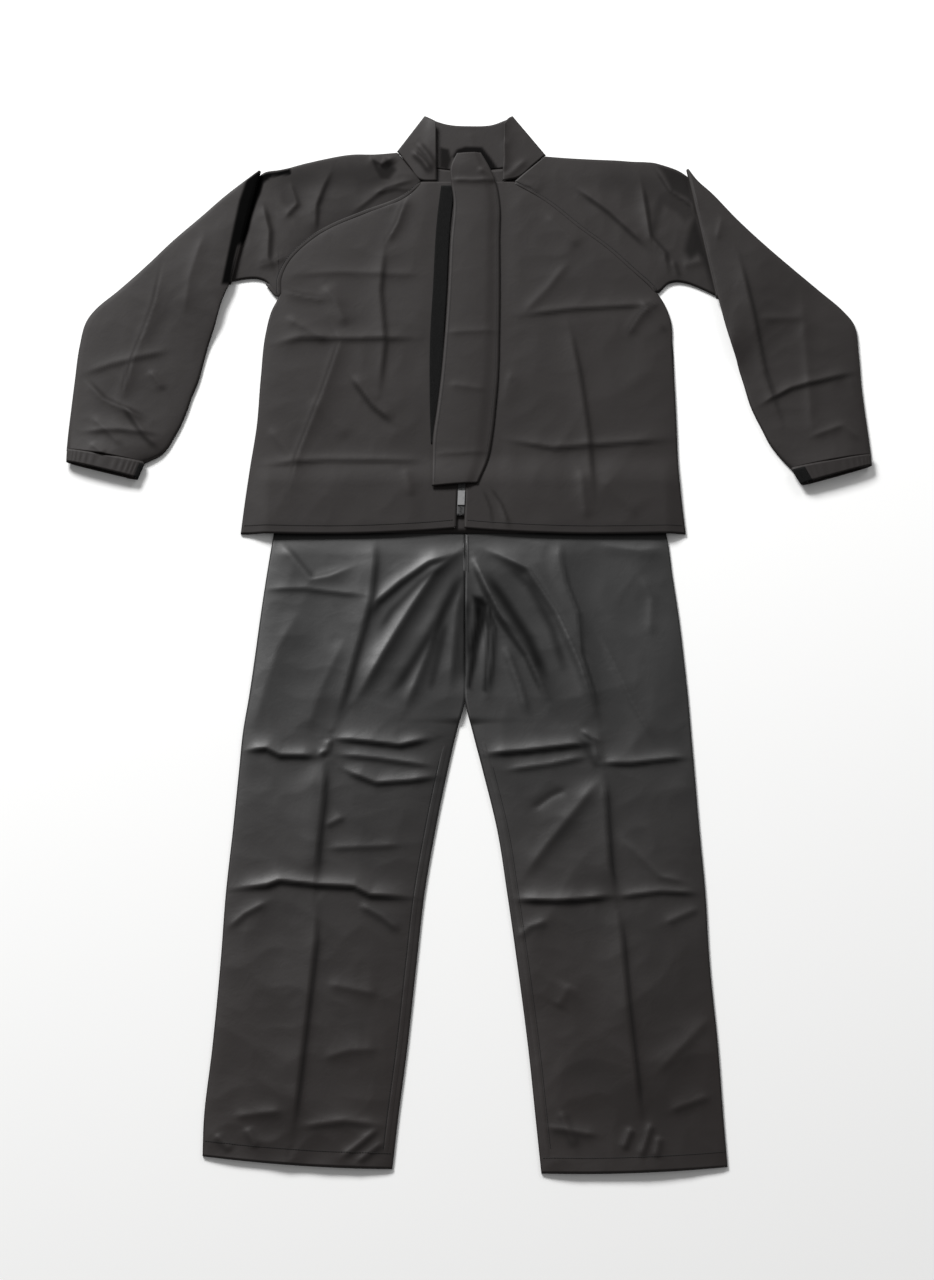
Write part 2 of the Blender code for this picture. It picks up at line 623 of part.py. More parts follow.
def across_fold(row, side):
    """Unit vector square to a fold line, away from the body; side is -1 on the wearer's right."""
    line = Vector((row.seam_x - row.top_x, row.seam_y - row.top_y, 0)).normalized()
    square = line.cross(Vector((0, 0, 1)))
    return square if square.x * side > 0 else -square


def arm_frames(table):
    frames = []
    for row in table:
        top = Vector((row.top_x, row.top_y, 0))
        seam = Vector((row.seam_x, row.seam_y, 0))
        frames.append(flat_frame(top, seam, seam, row.height, TUBE_SEAM_HALF, row.puff, False))
    return frames


def sleeve(name, raglan, hidden_fold, shown_fold, arm, side):
    """A flattened sleeve: its back layer, round the outer fold, then its front layer."""
    away = across_fold(hidden_fold, side)
    towards_body = -across_fold(shown_fold, side)
    frames = raglan_frames(raglan)
    frames += turned_frames(hidden_fold, away, False)
    frames += turned_frames(shown_fold, towards_body, True)
    frames += arm_frames(arm)
    layer_columns = 6
    turn_columns = 3
    columns = 2 * layer_columns + turn_columns

    def place(column, row):
        frame = frames[row]
        span = frame.front - frame.top
        outwards = -span.normalized()
        if column <= layer_columns:
            share = 1 - column / layer_columns
            edge = frame.back
            half = -mix(frame.edge_half, frame.seam_half if not frame.open_seam else frame.edge_half, share)
            lifted = 0.0
        elif column >= layer_columns + turn_columns:
            share = (column - layer_columns - turn_columns) / layer_columns
            edge = frame.front
            half = mix(frame.edge_half, frame.seam_half, share)
            lifted = frame.puff * math.sin(math.pi * share) ** 0.5
        else:
            angle = math.pi * ((column - layer_columns) / turn_columns - 0.5)
            swell = outwards * (frame.edge_half * math.cos(angle))
            return frame.top + swell + frame.normal * (frame.edge_half * math.sin(angle))
        held = mix(1.0, 1.0 - SEAM_GAP / (edge - frame.top).length, share)
        point = frame.top + (edge - frame.top) * (share * held)
        if lifted and frame.normal.z > 0.9:
            lifted += fold_lift(point.x, point.y, SLEEVE_FOLDS) * math.sin(math.pi * share)
        return point + frame.normal * (half + lifted)

    return sheet(name, columns, len(frames) - 1, place, JACKET_CLOTH, JACKET_HEM_AT)


def cuff_point(last_row, mouth, turn, along):
    """A point of the gaping cuff: along runs from the sleeve to the mouth."""
    start_outer = Vector((last_row.top_x, last_row.top_y, 0))
    start_inner = Vector((last_row.seam_x, last_row.seam_y, 0))
    mouth_outer = Vector((mouth.outer_x, mouth.outer_y, 0))
    mouth_inner = Vector((mouth.inner_x, mouth.inner_y, 0))
    reach = (mouth_outer + mouth_inner - start_outer - start_inner).normalized()
    outer = start_outer.lerp(mouth_outer, along) + reach * SEAM_GAP * (1 - along)
    inner = start_inner.lerp(mouth_inner, along) + reach * SEAM_GAP * (1 - along)
    middle = (outer + inner) / 2
    arm = (outer - inner) / 2
    across = squared_off(math.cos(turn), CUFF_ROUNDING)
    up = squared_off(math.sin(turn), CUFF_ROUNDING)
    return middle + arm * across + Vector((0, 0, FLOOR_LAYER + MOUTH_HALF * (1 + up)))


def cuff(name, last_row, mouth):
    """The elastic band at a sleeve's end: a gaping flattened ring."""
    def place(turn, end):
        return cuff_point(last_row, mouth, turn, end)

    return ring(name, CUFF_SIDES, place, JACKET_CLOTH, JACKET_HEM_AT, WALL)


def cuff_tab(name, last_row, mouth, first_side, last_side):
    """A small hook-and-loop tab round the cuff's inner corner, moved out from the cuff's sides."""
    stand = WALL / 2 + SEAM_GAP + TAPE_WALL / 2

    def place(column, row):
        cuff_side = first_side + column * (1 if last_side > first_side else -1)
        turn = math.pi / 2 + cuff_side * math.tau / CUFF_SIDES
        along = mix(TAB_START, TAB_END, row)
        return cuff_point(last_row, mouth, turn, along)

    columns = abs(last_side - first_side)
    return sheet(name, columns, 1, place, HOOK_CLOTH, JACKET_HEM_AT, TAPE_WALL, stand)


# Collar, flap, tapes and zip

def collar():
    """One strip: each front wing turns back over the hidden side at its neck corner."""
    rows = []
    for index, row in enumerate(COLLAR):
        foot = Vector((row.foot_x, row.foot_y, row.foot_z))
        rim = Vector((row.rim_x, row.rim_y, row.rim_z))
        if index not in (RIGHT_TURN, LEFT_TURN):
            rows.append((foot, rim))
            continue
        away = Vector((-1, 0, 0)) if index == RIGHT_TURN else Vector((1, 0, 0))
        radius = (row.foot_z - FLOOR_LAYER) / 2
        angles = [math.pi * step / 4 for step in range(5)]
        if index == LEFT_TURN:
            angles.reverse()
        for angle in angles:
            shift = away * (radius * math.sin(angle)) + Vector((0, 0, radius * (math.cos(angle) - 1)))
            rows.append((foot + shift, rim + shift))
    columns = 4

    def place(column, row):
        foot, rim = rows[row]
        return foot.lerp(rim, column / columns)

    return sheet("collar", columns, len(rows) - 1, place, JACKET_CLOTH, JACKET_HEM_AT)


def storm_flap():
    columns = 4
    rows = with_rows_between(FLAP, 3)
    stand = WALL / 2 + SEAM_GAP + TAPE_WALL + SEAM_GAP + FLAP_WALL / 2

    def place(column, row):
        band = rows[row]
        share = column / columns
        x = mix(band.outer_x, band.inner_x, share)
        y = mix(band.outer_y, band.inner_y, share)
        arch = FLAP_ARCH * math.sin(math.pi * share)
        over_neck = FLAP_NECK_LIFT * smooth_step((y - FLAP_NECK) / FLAP_NECK_BLEND)
        return Vector((x, y, placket_height(x, y) + stand + arch + over_neck))

    return sheet("storm_flap", columns, len(rows) - 1, place, JACKET_CLOTH, JACKET_HEM_AT, FLAP_WALL)


def hook_tape():
    stand = WALL / 2 + SEAM_GAP + TAPE_WALL / 2

    def place(column, row):
        edge = HOOK_TAPE[row]
        x = edge.x + column * TAPE_WIDTH
        return Vector((x, edge.y, placket_height(x, edge.y) + stand))

    return sheet("hook_tape", 1, len(HOOK_TAPE) - 1, place, HOOK_CLOTH, JACKET_HEM_AT, TAPE_WALL)


def zip_tapes():
    """The closed zip fills the gap between the fronts."""
    rows = 8
    half_width = ZIP_HALF_GAP - SEAM_GAP

    def place(column, row):
        y = mix(ZIP_FOOT, ZIP_HEAD, row / rows)
        x = zip_line(y) + (column - 1) * half_width
        return Vector((x, y, placket_height(x, y)))

    return sheet("zip", 2, rows, place, ZIP_CLOTH, JACKET_HEM_AT)


def zip_end():
    """The stiff end piece that lies on the zip below the flap."""
    stand = WALL / 2 + SEAM_GAP + WALL / 2

    def place(column, row):
        y = ZIP_END_FOOT + row * ZIP_END_LENGTH
        x = zip_line(y) + (column * 2 - 1) * ZIP_END_HALF_WIDTH
        return Vector((x, y, placket_height(x, y) + stand))

    return sheet("zip_end", 1, 1, place, ZIP_FILM, JACKET_HEM_AT)


def zip_slider():
    shape = bmesh.new()
    bmesh.ops.create_cube(shape, size=1.0)
    bmesh.ops.scale(shape, vec=SLIDER_SIZE, verts=shape.verts)
    bmesh.ops.bevel(shape, geom=list(shape.edges), offset=SLIDER_BEVEL, segments=1, profile=0.5,
                    affect="EDGES")
    x = zip_line(SLIDER_HEIGHT)
    stand = placket_height(x, SLIDER_HEIGHT) + WALL / 2 + SEAM_GAP + SLIDER_SIZE.z / 2
    at = JACKET_HEM_AT + Vector((x, SLIDER_HEIGHT, stand))
    return finished("zip_slider", shape, SLIDER_METAL, at)


def build():
    clear_scene()
    for side, table, word in ((-1, LEG_RIGHT, "right"), (1, LEG_LEFT, "left")):
        trouser_panel("trousers_back_" + word, table, side, 4, 1, False)
        trouser_panel("trousers_front_" + word, table, side, 14, 2, True)
    waistband()
    jacket_back()
    jacket_front("jacket_front_right", FRONT_RIGHT_EDGE, -1)
    jacket_front("jacket_front_left", FRONT_LEFT_EDGE, 1)
    sleeve("sleeve_right", RAGLAN_RIGHT, HIDDEN_FOLD_RIGHT, SHOWN_FOLD_RIGHT, ARM_RIGHT, -1)
    sleeve("sleeve_left", RAGLAN_LEFT, HIDDEN_FOLD_LEFT, SHOWN_FOLD_LEFT, ARM_LEFT, 1)
    cuff("cuff_right", ARM_RIGHT[-1], CUFF_RIGHT)
    cuff("cuff_left", ARM_LEFT[-1], CUFF_LEFT)
    cuff_tab("cuff_tab_right", ARM_RIGHT[-1], CUFF_RIGHT, 6, 3)
    cuff_tab("cuff_tab_left", ARM_LEFT[-1], CUFF_LEFT, 2, 4)
    collar()
    storm_flap()
    hook_tape()
    zip_tapes()
    zip_end()
    zip_slider()


build()
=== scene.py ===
# %% [markdown]
# # A rain suit, laid flat
#
# A two-piece rain suit lies on a pale floor: a raglan jacket with a stand collar, over the waist of a pair
# of straight trousers. Laid-out clothes look simple, and yet they are all surface: what tells them apart from
# card is how the cloth lifts, creases and catches the light. So each cut piece is made once as a fine grid,
# and its height is worked out from a few named tables.
#
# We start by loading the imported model. It is the frame: every piece here replaces one of its solids and
# stays where that solid is.

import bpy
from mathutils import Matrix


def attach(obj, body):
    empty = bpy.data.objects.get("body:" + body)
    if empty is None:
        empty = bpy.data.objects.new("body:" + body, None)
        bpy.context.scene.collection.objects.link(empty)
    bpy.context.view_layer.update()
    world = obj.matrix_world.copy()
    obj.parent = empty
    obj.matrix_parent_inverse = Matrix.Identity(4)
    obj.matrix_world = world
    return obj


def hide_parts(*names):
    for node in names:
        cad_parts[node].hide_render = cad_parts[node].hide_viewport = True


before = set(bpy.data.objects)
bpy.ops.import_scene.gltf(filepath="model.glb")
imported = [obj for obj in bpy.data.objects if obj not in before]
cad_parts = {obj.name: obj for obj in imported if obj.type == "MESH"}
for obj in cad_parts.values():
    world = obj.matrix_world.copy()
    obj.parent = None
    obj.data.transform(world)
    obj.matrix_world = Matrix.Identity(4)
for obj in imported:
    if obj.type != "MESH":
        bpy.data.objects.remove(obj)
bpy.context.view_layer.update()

# %% The tools this lesson uses
import math
from collections import namedtuple

import bmesh
import bpy
import numpy as np
from mathutils import Matrix, Vector, noise
from mathutils.bvhtree import BVHTree

# %% [markdown]
# ## Sizes
#
# Everything is in metres. A garment's own sizes are measured from the middle of its hem, as a tailor lays a
# tape, and are moved to the garment's place at the very end. The cloth itself is under a millimetre thick.

# %% Driving sizes
MM = 0.001
CLOTH = 0.7 * MM            # coated cloth
DOUBLE_CLOTH = 1.4 * MM     # the storm flap, two layers
PILE_TAPE = 0.9 * MM        # hook-and-loop tape
SEAM_GAP = 0.3 * MM         # between two pieces that meet
LAYER = 1.3 * MM            # centre to centre of two layers that lie on each other
FLOOR_LAYER = 0.5 * MM      # centre height of a layer on the floor
CELL = 3.2 * MM             # size of the grid's cells on the sides that show
WIDE_CELL = 10.0 * MM       # and on the hidden, flat ones

JACKET_HEM_AT = np.array((-0.0035, 0.1175, 0.0))
TROUSER_HEM_AT = np.array((-0.0035, -0.8535, 0.0))

TUBE_HALF = 1.2 * MM        # half the height of a flattened sleeve at its folded edge
TUBE_SEAM_HALF = LAYER / 2  # and at its seam
TUBE_LOW = FLOOR_LAYER + TUBE_HALF
PLEAT_STEP = 3.7 * MM       # centre to centre of two folded runs of a sleeve
PLEAT_TOP = TUBE_LOW + 2 * PLEAT_STEP

TROUSER_PUFF = 2.2 * MM     # how far the trouser fronts stand off the backs
JACKET_PUFF = 2.0 * MM
PUFF_REACH = 30 * MM        # distance from an edge over which the cloth rises
CREASE_REACH = 9 * MM       # creases die out this close to an edge

COVER_LIFT = 2 * LAYER + TROUSER_PUFF    # lifts the jacket's back onto the trousers' fronts
COVER_TOP = 0.078           # above the jacket's hem, where the waistband ends
COVER_RAMP = 0.055
COVER_SIDE = 0.297
COVER_SIDE_RAMP = 0.035

HEM_BOW = 0.004             # how far the middle of each hem hangs below its ends
HEM_BOW_REACH = 0.030
HEM_CRUMPLE_REACH = 0.05    # small dents are deeper this close to the trousers' hems
WAIST_BOTTOM = 1.000        # above the trouser hem
WAIST_HEIGHT = 0.040
WAIST_HALF_WIDTH = 0.268
WAIST_HALF_HEIGHT = 1.4 * MM
CROTCH_HEIGHT = 0.660
CROTCH_BLEND = 0.050
CENTRE_SEAM_X = -0.003
FOLDS_FADE_FROM = 0.930     # above the trouser hem, folds flatten towards the jacket
FOLDS_FADE_TO = 0.962

ZIP_LEAN = 0.0336           # the zip's line leans towards the wearer's left, going up
ZIP_FOOT_X = -0.0105
ZIP_HALF_GAP = 0.006
FLAT_BESIDE_ZIP = 0.050
FLAT_BLEND = 0.030
JACKET_HEM_FLAT = 0.020     # above the jacket's hem, where its creases are fully grown
ARMHOLE_FOOT = 0.400
ARMHOLE_BLEND = 0.060
FRONT_HEM_RISE = 0.007
RAGLAN_PUFF = 0.8 * MM
NECK_DIP = 0.009
NECK_DIP_FROM = 0.600
NECK_DIP_BLEND = 0.050

MOUTH_HALF = 5.6 * MM       # half the height of the gaping cuffs
CUFF_ROUNDING = 0.7
TAPE_WIDTH = 0.022
FLAP_ARCH = 1.2 * MM
FLAP_NECK_LIFT = 3.0 * MM
FLAP_NECK = 0.600
FLAP_NECK_BLEND = 0.050
ZIP_FOOT = 0.025
ZIP_HEAD = 0.612
print("cells of", CELL / MM, "mm, cloth", CLOTH / MM, "mm")

# %% [markdown]
# ## The cut, as tables
#
# Each table goes from one end of a piece to the other, and each row names the two edges of the piece there.
# The photograph gives these numbers: they are the outline of each piece as it lies. Tables are the one place
# with millimetres, because whole numbers are easier to read in rows.

# %% Tables in millimetres
def table(kind, *rows):
    """Rows of a named tuple, from millimetres."""
    return [kind(*(value / 1000 for value in row)) for row in rows]


def in_pairs(values):
    """Points, from x and y in turn in millimetres."""
    return tuple((x / 1000, y / 1000) for x, y in zip(values[::2], values[1::2]))


def lines(kind, *rows):
    """Named tuples that end in a path: a row is the tuple's own numbers, then the path's x and y in turn."""
    own = len(kind._fields) - 1
    return [kind(*row[:own], in_pairs(row[own:])) for row in rows]


print("one point:", in_pairs((100, 250)))

# %% Outlines of the trousers
Band = namedtuple("Band", "outer_x outer_y inner_x inner_y")
# the centre seam is at x = -3, and the waistband starts at y = 1000
LEG_RIGHT = table(
    Band,
    (-362.5, 20, -102, 2), (-362.5, 72, -95.5, 66), (-354.5, 172, -83.5, 168), (-347, 300, -70.5, 300),
    (-343, 400, -60.5, 398), (-336, 496, -45.5, 494), (-330, 590, -29, 582), (-326, 650, -15, 648),
    (-319.5, 700, -3, 697), (-312.5, 765, -3, 765), (-306, 832, -3, 832), (-298.5, 900, -3, 900),
    (-290, 967, -3, 967), (-285, 1000, -3, 1000),
)
LEG_LEFT = table(
    Band,
    (356.5, 5, 101.5, -4), (353.5, 66, 95, 66), (349.5, 170, 85.5, 168), (341.5, 300, 70, 300),
    (339, 400, 57, 400), (333.5, 496, 43.5, 494), (329, 590, 22, 590), (326, 650, 8, 648),
    (323.5, 700, -3, 697), (319, 765, -3, 765), (313.5, 832, -3, 832), (306, 900, -3, 900),
    (299, 967, -3, 967), (292, 1000, -3, 1000),
)
print("rows down each leg:", len(LEG_RIGHT))

# %% Outlines of the jacket's body
Point = namedtuple("Point", "x y")
Across = namedtuple("Across", "right_x right_y left_x left_y")
FRONT_RIGHT_EDGE = table(
    Point,
    (-339.5, -3), (-334.5, 53), (-329, 106), (-320.5, 182), (-317, 261), (-311, 345), (-303.5, 382),
    (-293, 409), (-293, 439), (-285, 464), (-244, 514), (-216, 534), (-161, 561), (-98, 591), (-73, 617),
)
FRONT_LEFT_EDGE = table(
    Point,
    (328, -3), (323.5, 53), (320.5, 106), (319.5, 186), (318.5, 252), (317, 314), (315.5, 367), (307, 394),
    (295.5, 415), (285, 430), (258, 458), (224, 494), (178, 534), (123, 585), (75, 617),
)
BACK = table(
    Across,
    (-339.5, -3, 328, -3), (-334.5, 53, 323.5, 53), (-329, 106, 320.5, 106), (-320.5, 182, 319.5, 186),
    (-317, 261, 318.5, 252), (-311, 345, 316.5, 335), (-303.5, 382, 307, 394), (-293, 409, 295.5, 415),
    (-293, 439, 285, 430), (-285, 464, 258, 458), (-244, 514, 224, 494), (-216, 538, 200, 522),
    (-165, 575, 165, 562), (-115, 622, 125, 615), (-88, 650, 95, 648),
)
print("rows up the jacket:", len(BACK))

# %% Outlines of the sleeves
Raglan = namedtuple("Raglan", "top_x top_y front_x front_y back_x back_y")
Arm = namedtuple("Arm", "top_x top_y seam_x seam_y height puff")
RAGLAN_RIGHT = table(
    Raglan,
    (-111, 671, -73, 617, -88, 650), (-142, 668, -98, 591, -115, 622), (-185, 667, -161, 561, -165, 575),
    (-225, 659, -216, 534, -216, 538), (-255, 651, -244, 514, -244, 514), (-287, 641, -285, 464, -285, 464),
    (-300, 638, -293, 439, -293, 439), (-308, 637, -293.5, 409, -293.5, 409),
    (-318, 635, -313, 434, -313, 434),
)
RAGLAN_LEFT = table(
    Raglan,
    (124, 664, 75, 617, 95, 648), (155, 661, 123, 585, 125, 615), (200, 658, 178, 534, 165, 562),
    (240, 656, 224, 494, 200, 522), (262, 654, 258, 458, 224, 494), (285, 653, 285, 430, 258, 458),
    (300, 651, 290.5, 422.5, 285, 430), (312, 647, 296, 415, 296, 415), (325, 642, 313, 430, 313, 430),
)
HIDDEN_FOLD_RIGHT = Arm(-0.336, 0.620, -0.398, 0.429, TUBE_LOW, 0.0)
SHOWN_FOLD_RIGHT = Arm(-0.330, 0.633, -0.370, 0.428, TUBE_LOW + PLEAT_STEP, 0.0)
HIDDEN_FOLD_LEFT = Arm(0.356, 0.621, 0.416, 0.396, TUBE_LOW, 0.0)
SHOWN_FOLD_LEFT = Arm(0.351, 0.636, 0.390, 0.402, TUBE_LOW + PLEAT_STEP, 0.0)
ARM_LEVELS = [    # height and puff of each row of an arm, from the shoulder to the cuff
    (PLEAT_TOP, 0.0005), (PLEAT_TOP, 0.0010), (PLEAT_TOP, 0.0015), (PLEAT_TOP, 0.0015), (0.0060, 0.0020),
    (0.0027, 0.0025), (TUBE_LOW, 0.0025), (TUBE_LOW, 0.0025), (TUBE_LOW, 0.0025), (TUBE_LOW, 0.0030),
    (TUBE_LOW, 0.0045), (TUBE_LOW, 0.0065), (TUBE_LOW, 2 * MOUTH_HALF - 2 * TUBE_HALF),
]
ARM_RIGHT = [Arm(*plan, *level) for plan, level in zip(table(
    Band,
    (-350, 615, -372, 421), (-380, 587, -376, 411), (-416, 549, -381, 395), (-463, 500, -386, 372),
    (-496, 464, -391, 350), (-541, 418, -399, 320), (-575, 385, -405, 292), (-589, 362, -411, 262),
    (-597, 318, -421, 230), (-601, 258, -430, 198), (-604, 205, -443, 165), (-606, 168, -462, 132),
    (-607, 138, -489, 116),
), ARM_LEVELS)]
ARM_LEFT = [Arm(*plan, *level) for plan, level in zip(table(
    Band,
    (362, 618, 392, 393), (387, 590, 396, 372), (424, 543, 401.5, 346), (473, 488, 408.5, 317),
    (511, 451, 414, 297), (548, 416, 418.5, 276), (582, 382, 425, 250), (599, 356, 431, 223),
    (603, 305, 438.5, 200), (604, 252, 449, 175), (607, 200, 461, 147), (610, 160, 477, 123),
    (612, 129, 491, 106),
), ARM_LEVELS)]
CUFF_RIGHT = Band(-0.607, 0.117, -0.499, 0.088)    # the cuff's mouth
CUFF_LEFT = Band(0.613, 0.111, 0.506, 0.078)
print("rows down each arm:", len(ARM_RIGHT))

# %% Outlines of the collar, the flap and the tape
Collar = namedtuple("Collar", "foot_x foot_y rim_x rim_y foot_z rim_z")
# a height of 0.5 is a layer on the floor
COLLAR = table(
    Collar,
    (-48, 618, -50, 727.5, 4, 8.5), (-73, 620, -56, 732.5, 3.8, 6.5), (-91, 645, -61, 736.5, 3.4, 4.5),
    (-110, 674, -67, 740.5, 2.9, 2.9), (-87, 653, -58, 735.5, 0.5, 0.5), (-45, 643, -30, 725.5, 0.5, 1),
    (2, 639, 3, 722.5, 0.5, 1.5), (50, 643, 38, 724.5, 0.5, 1), (95, 652, 62, 734.5, 0.5, 0.5),
    (124, 667, 72, 740.5, 2.9, 2.9), (106, 649, 67, 736.5, 3.4, 4.5), (80, 624, 63, 730.5, 3.8, 6.5),
    (56, 618, 60, 723.5, 4, 8.5),
)
RIGHT_TURN = 3              # rows at which the strip turns back
LEFT_TURN = 9
FLAP = table(
    Band,
    (-53, 73, 16, 79), (-53, 110, 31, 120), (-52, 155, 39, 165), (-46, 205, 44, 215), (-40, 261, 48, 265),
    (-34, 340, 50, 343), (-30, 403, 51, 405), (-26, 500, 51, 500), (-22, 590, 50, 590), (-25, 612, 46, 612),
    (-26, 640, 36, 640), (-16, 666, 22, 668),
)
HOOK_TAPE = table(
    Point,
    (-55, 149), (-57, 226), (-57, 332), (-53, 421), (-47, 549), (-41, 609),
)
print("rows round the neck:", len(COLLAR))

# %% [markdown]
# ## Creases
#
# A crease is a line with a lift in millimetres (below zero for a trough) and two widths: how fast the cloth
# falls away on the left of the line and on its right. Two widths matter, because real cloth leans: a storage
# fold is steep on one side and soft on the other, and that is what makes one bright edge and one dark one.

# %% Creases of the trousers
Crease = namedtuple("Crease", "lift left right points")     # a row: lift, left, right, then x and y in turn
TROUSER_CREASES = lines(
    Crease,
    # right leg, from the crotch
    (6.5, 8, 16, -4, 944, -48, 901, -82, 844, -111, 792, -148, 721, -165, 694),
    (4.2, 6, 12, -13, 934, -57, 919, -100, 886, -134, 854, -150, 824),
    (4.2, 8, 13, -34, 854, -56, 777, -72, 731, -91, 680),
    (2.6, 6, 9, -4, 893, -15, 834, -21, 768, -25, 713),
    (-2.2, 6, 6, 4, 860, -6, 795, -12, 715),
    # right leg, pressed edge
    (4, 6, 34, -140, 966, -139, 919, -144, 862, -154, 814, -166, 768, -179, 713, -194, 658),
    (4.4, 6, 30, -207, 601, -209, 539, -215, 469, -217, 417),
    (3.8, 5.4, 36, -215, 387, -215, 329, -222, 253, -230, 169, -236, 103, -243, 37),
    # right leg, storage folds
    (4.2, 12, 4, -325, 617, -291, 620, -271, 609, -215, 608),
    (4.2, 12, 4, -198, 636, -164, 633, -97, 625, -48, 637),
    (2.6, 5, 4, -215, 608, -203, 617, -198, 636),
    (2.6, 9, 4, -190, 611, -126, 604, -46, 592),
    (3.6, 11, 4, -184, 592, -161, 579, -130, 566, -80, 570, -35, 578),
    (4.4, 12, 4, -340, 405, -285, 410, -267, 417, -215, 411, -161, 408, -137, 395, -67, 392),
    (2.2, 6, 6, -340, 346, -316, 368, -283, 386),
    (2.2, 6, 6, -155, 383, -119, 363, -93, 341),
    (1.8, 9, 5, -204, 499, -176, 515),
    (1.6, 9, 5, -203, 466, -136, 469, -90, 472),
    # right hip and thigh
    (3, 6, 14, -286, 959, -265, 933, -232, 890, -204, 896, -166, 913),
    (1.8, 10, 4, -305, 876, -241, 876, -147, 863),
    (2.2, 16, 22, -248, 840, -279, 779, -300, 699, -313, 644),
    (2.2, 14, 20, -180, 795, -213, 715, -234, 644),
    # right shin
    (1.8, 14, 9, -202, 156, -163, 168, -121, 170),
    (1.6, 12, 8, -199, 265, -122, 248),
    (1.8, 10, 7, -324, 74, -251, 82),
    (2.2, 6, 5, -174, 15, -147, 36, -120, 60),
    (2, 5, 5, -152, 9, -114, 40),
    (2, 8, 6, -230, 60, -168, 68, -114, 62),
    (1.8, 6, 6, -347, 50, -322, 26),
    (1.6, 6, 6, -304, 60, -287, 29),
    # left leg, from the crotch
    (6.5, 15, 7, 19, 946, 91, 906, 133, 834, 166, 750, 186, 678),
    (5.4, 13, 6, 13, 919, 47, 834, 90, 768, 123, 685),
    (4, 10, 6, 7, 933, 30, 872, 56, 824, 78, 795),
    (-3.6, 6, 6, 7, 867, 22, 847, 13, 795, 4, 755),
    (3.8, 5, 6, 25, 860, 37, 811, 34, 755, 28, 702),
    (2.4, 6, 6, 55, 787, 78, 715, 89, 667),
    # left leg, pressed edge
    (3.4, 5.4, 24, 138, 966, 140, 919, 147, 881, 163, 834, 166, 768, 183, 704, 191, 648),
    (4, 5.4, 28, 198, 581, 200, 504, 203, 434, 210, 393),
    (3.8, 5.4, 34, 212, 387, 218, 329, 224, 228, 233, 128, 239, 54),
    # left leg, storage folds
    (4.6, 13, 4, 22, 611, 89, 617, 164, 626, 185, 629),
    (3.6, 10, 4, 190, 597, 239, 597, 283, 603, 324, 608),
    (2.8, 5, 4, 165, 651, 186, 633, 190, 597),
    (2.2, 8, 4, 54, 586, 120, 595, 179, 608),
    (4.4, 12, 4, 64, 390, 128, 387, 169, 390, 211, 395),
    (2.8, 9, 4, 210, 392, 276, 401, 332, 399),
    (-1.8, 4, 7, 92, 525, 121, 547, 144, 558),
    (3, 16, 9, 78, 420, 116, 473, 163, 533, 195, 576),
    (1.8, 8, 4, 194, 806, 241, 694, 275, 629),
    (1.8, 6, 6, 69, 331, 89, 349, 115, 358),
    (1.8, 8, 6, 279, 353, 331, 378),
    (1.8, 7, 7, 219, 484, 275, 423, 318, 414),
    # left hip
    (2.4, 12, 9, 193, 951, 259, 939, 301, 946),
    (1.8, 10, 8, 258, 901, 275, 863, 270, 795),
    (1.6, 10, 10, 73, 959, 124, 946),
    # left shin
    (1.8, 14, 9, 261, 135, 311, 185, 343, 221),
    (1.5, 14, 10, 125, 228, 147, 265),
    (2.4, 5, 5, 213, 26, 227, 60),
    (2.4, 5, 5, 237, 15, 255, 68),
    (2, 5, 5, 258, 15, 265, 48),
    (1.8, 6, 6, 128, 85, 150, 29),
    (1.8, 6, 6, 107, 60, 183, 48),
    (1.6, 8, 6, 277, 82, 339, 105),
)
print("trouser creases:", len(TROUSER_CREASES))

# %% Creases of the jacket
JACKET_CREASES = lines(
    Crease,
    # right front
    (2.6, 4.5, 16, -130, 501, -136, 416, -128, 325, -136, 233),
    (2.8, 14, 4.5, -211, 364, -196, 325, -221, 237, -255, 135, -269, 62),
    (3, 12, 9, -226, 428, -204, 396, -187, 350),
    (2, 5, 9, -291, 418, -254, 407, -216, 400),
    (2.2, 9, 5, -301, 323, -255, 334, -190, 332, -73, 334),
    (2.2, 7, 7, -284, 371, -249, 350, -212, 325),
    (3.2, 12, 5, -178, 268, -142, 214, -110, 185),
    (2, 10, 4.5, -311, 113, -212, 121, -62, 120),
    (1.4, 10, 6, -276, 446, -198, 450, -66, 446),
    (2, 7, 7, -304, 178, -275, 140, -253, 109),
    (2.8, 8, 5, -93, 593, -109, 538, -127, 501),
    (1.6, 9, 9, -169, 576, -109, 578),
    (1.4, 9, 9, -94, 106, -83, 55),
    (1.6, 14, 14, -241, 226, -178, 157),
    # left front
    (2.4, 4.5, 14, 157, 357, 172, 267, 184, 164, 189, 55),
    (2.2, 9, 4.5, 82, 373, 162, 385, 294, 394),
    (2.2, 9, 4.5, 55, 157, 132, 142, 312, 157),
    (1.8, 8, 9, 161, 472, 126, 421, 85, 374),
    (1.8, 7, 7, 50, 213, 69, 275),
    (2.4, 3.5, 4.5, 21, 69, 33, 35, 36, 5),
    (2.6, 3.5, 5, 32, 72, 50, 42, 62, 5),
    (2, 12, 8, 171, 106, 179, 15),
    (3, 7, 5, 300, 403, 269, 374, 246, 335),
    (2.4, 7, 7, 311, 342, 287, 374, 269, 403),
    (2.2, 12, 12, 123, 558, 177, 494),
    (2.4, 10, 5, 194, 558, 243, 494, 280, 454),
    (1.5, 16, 10, 201, 89, 260, 22),
)
print("jacket creases:", len(JACKET_CREASES))

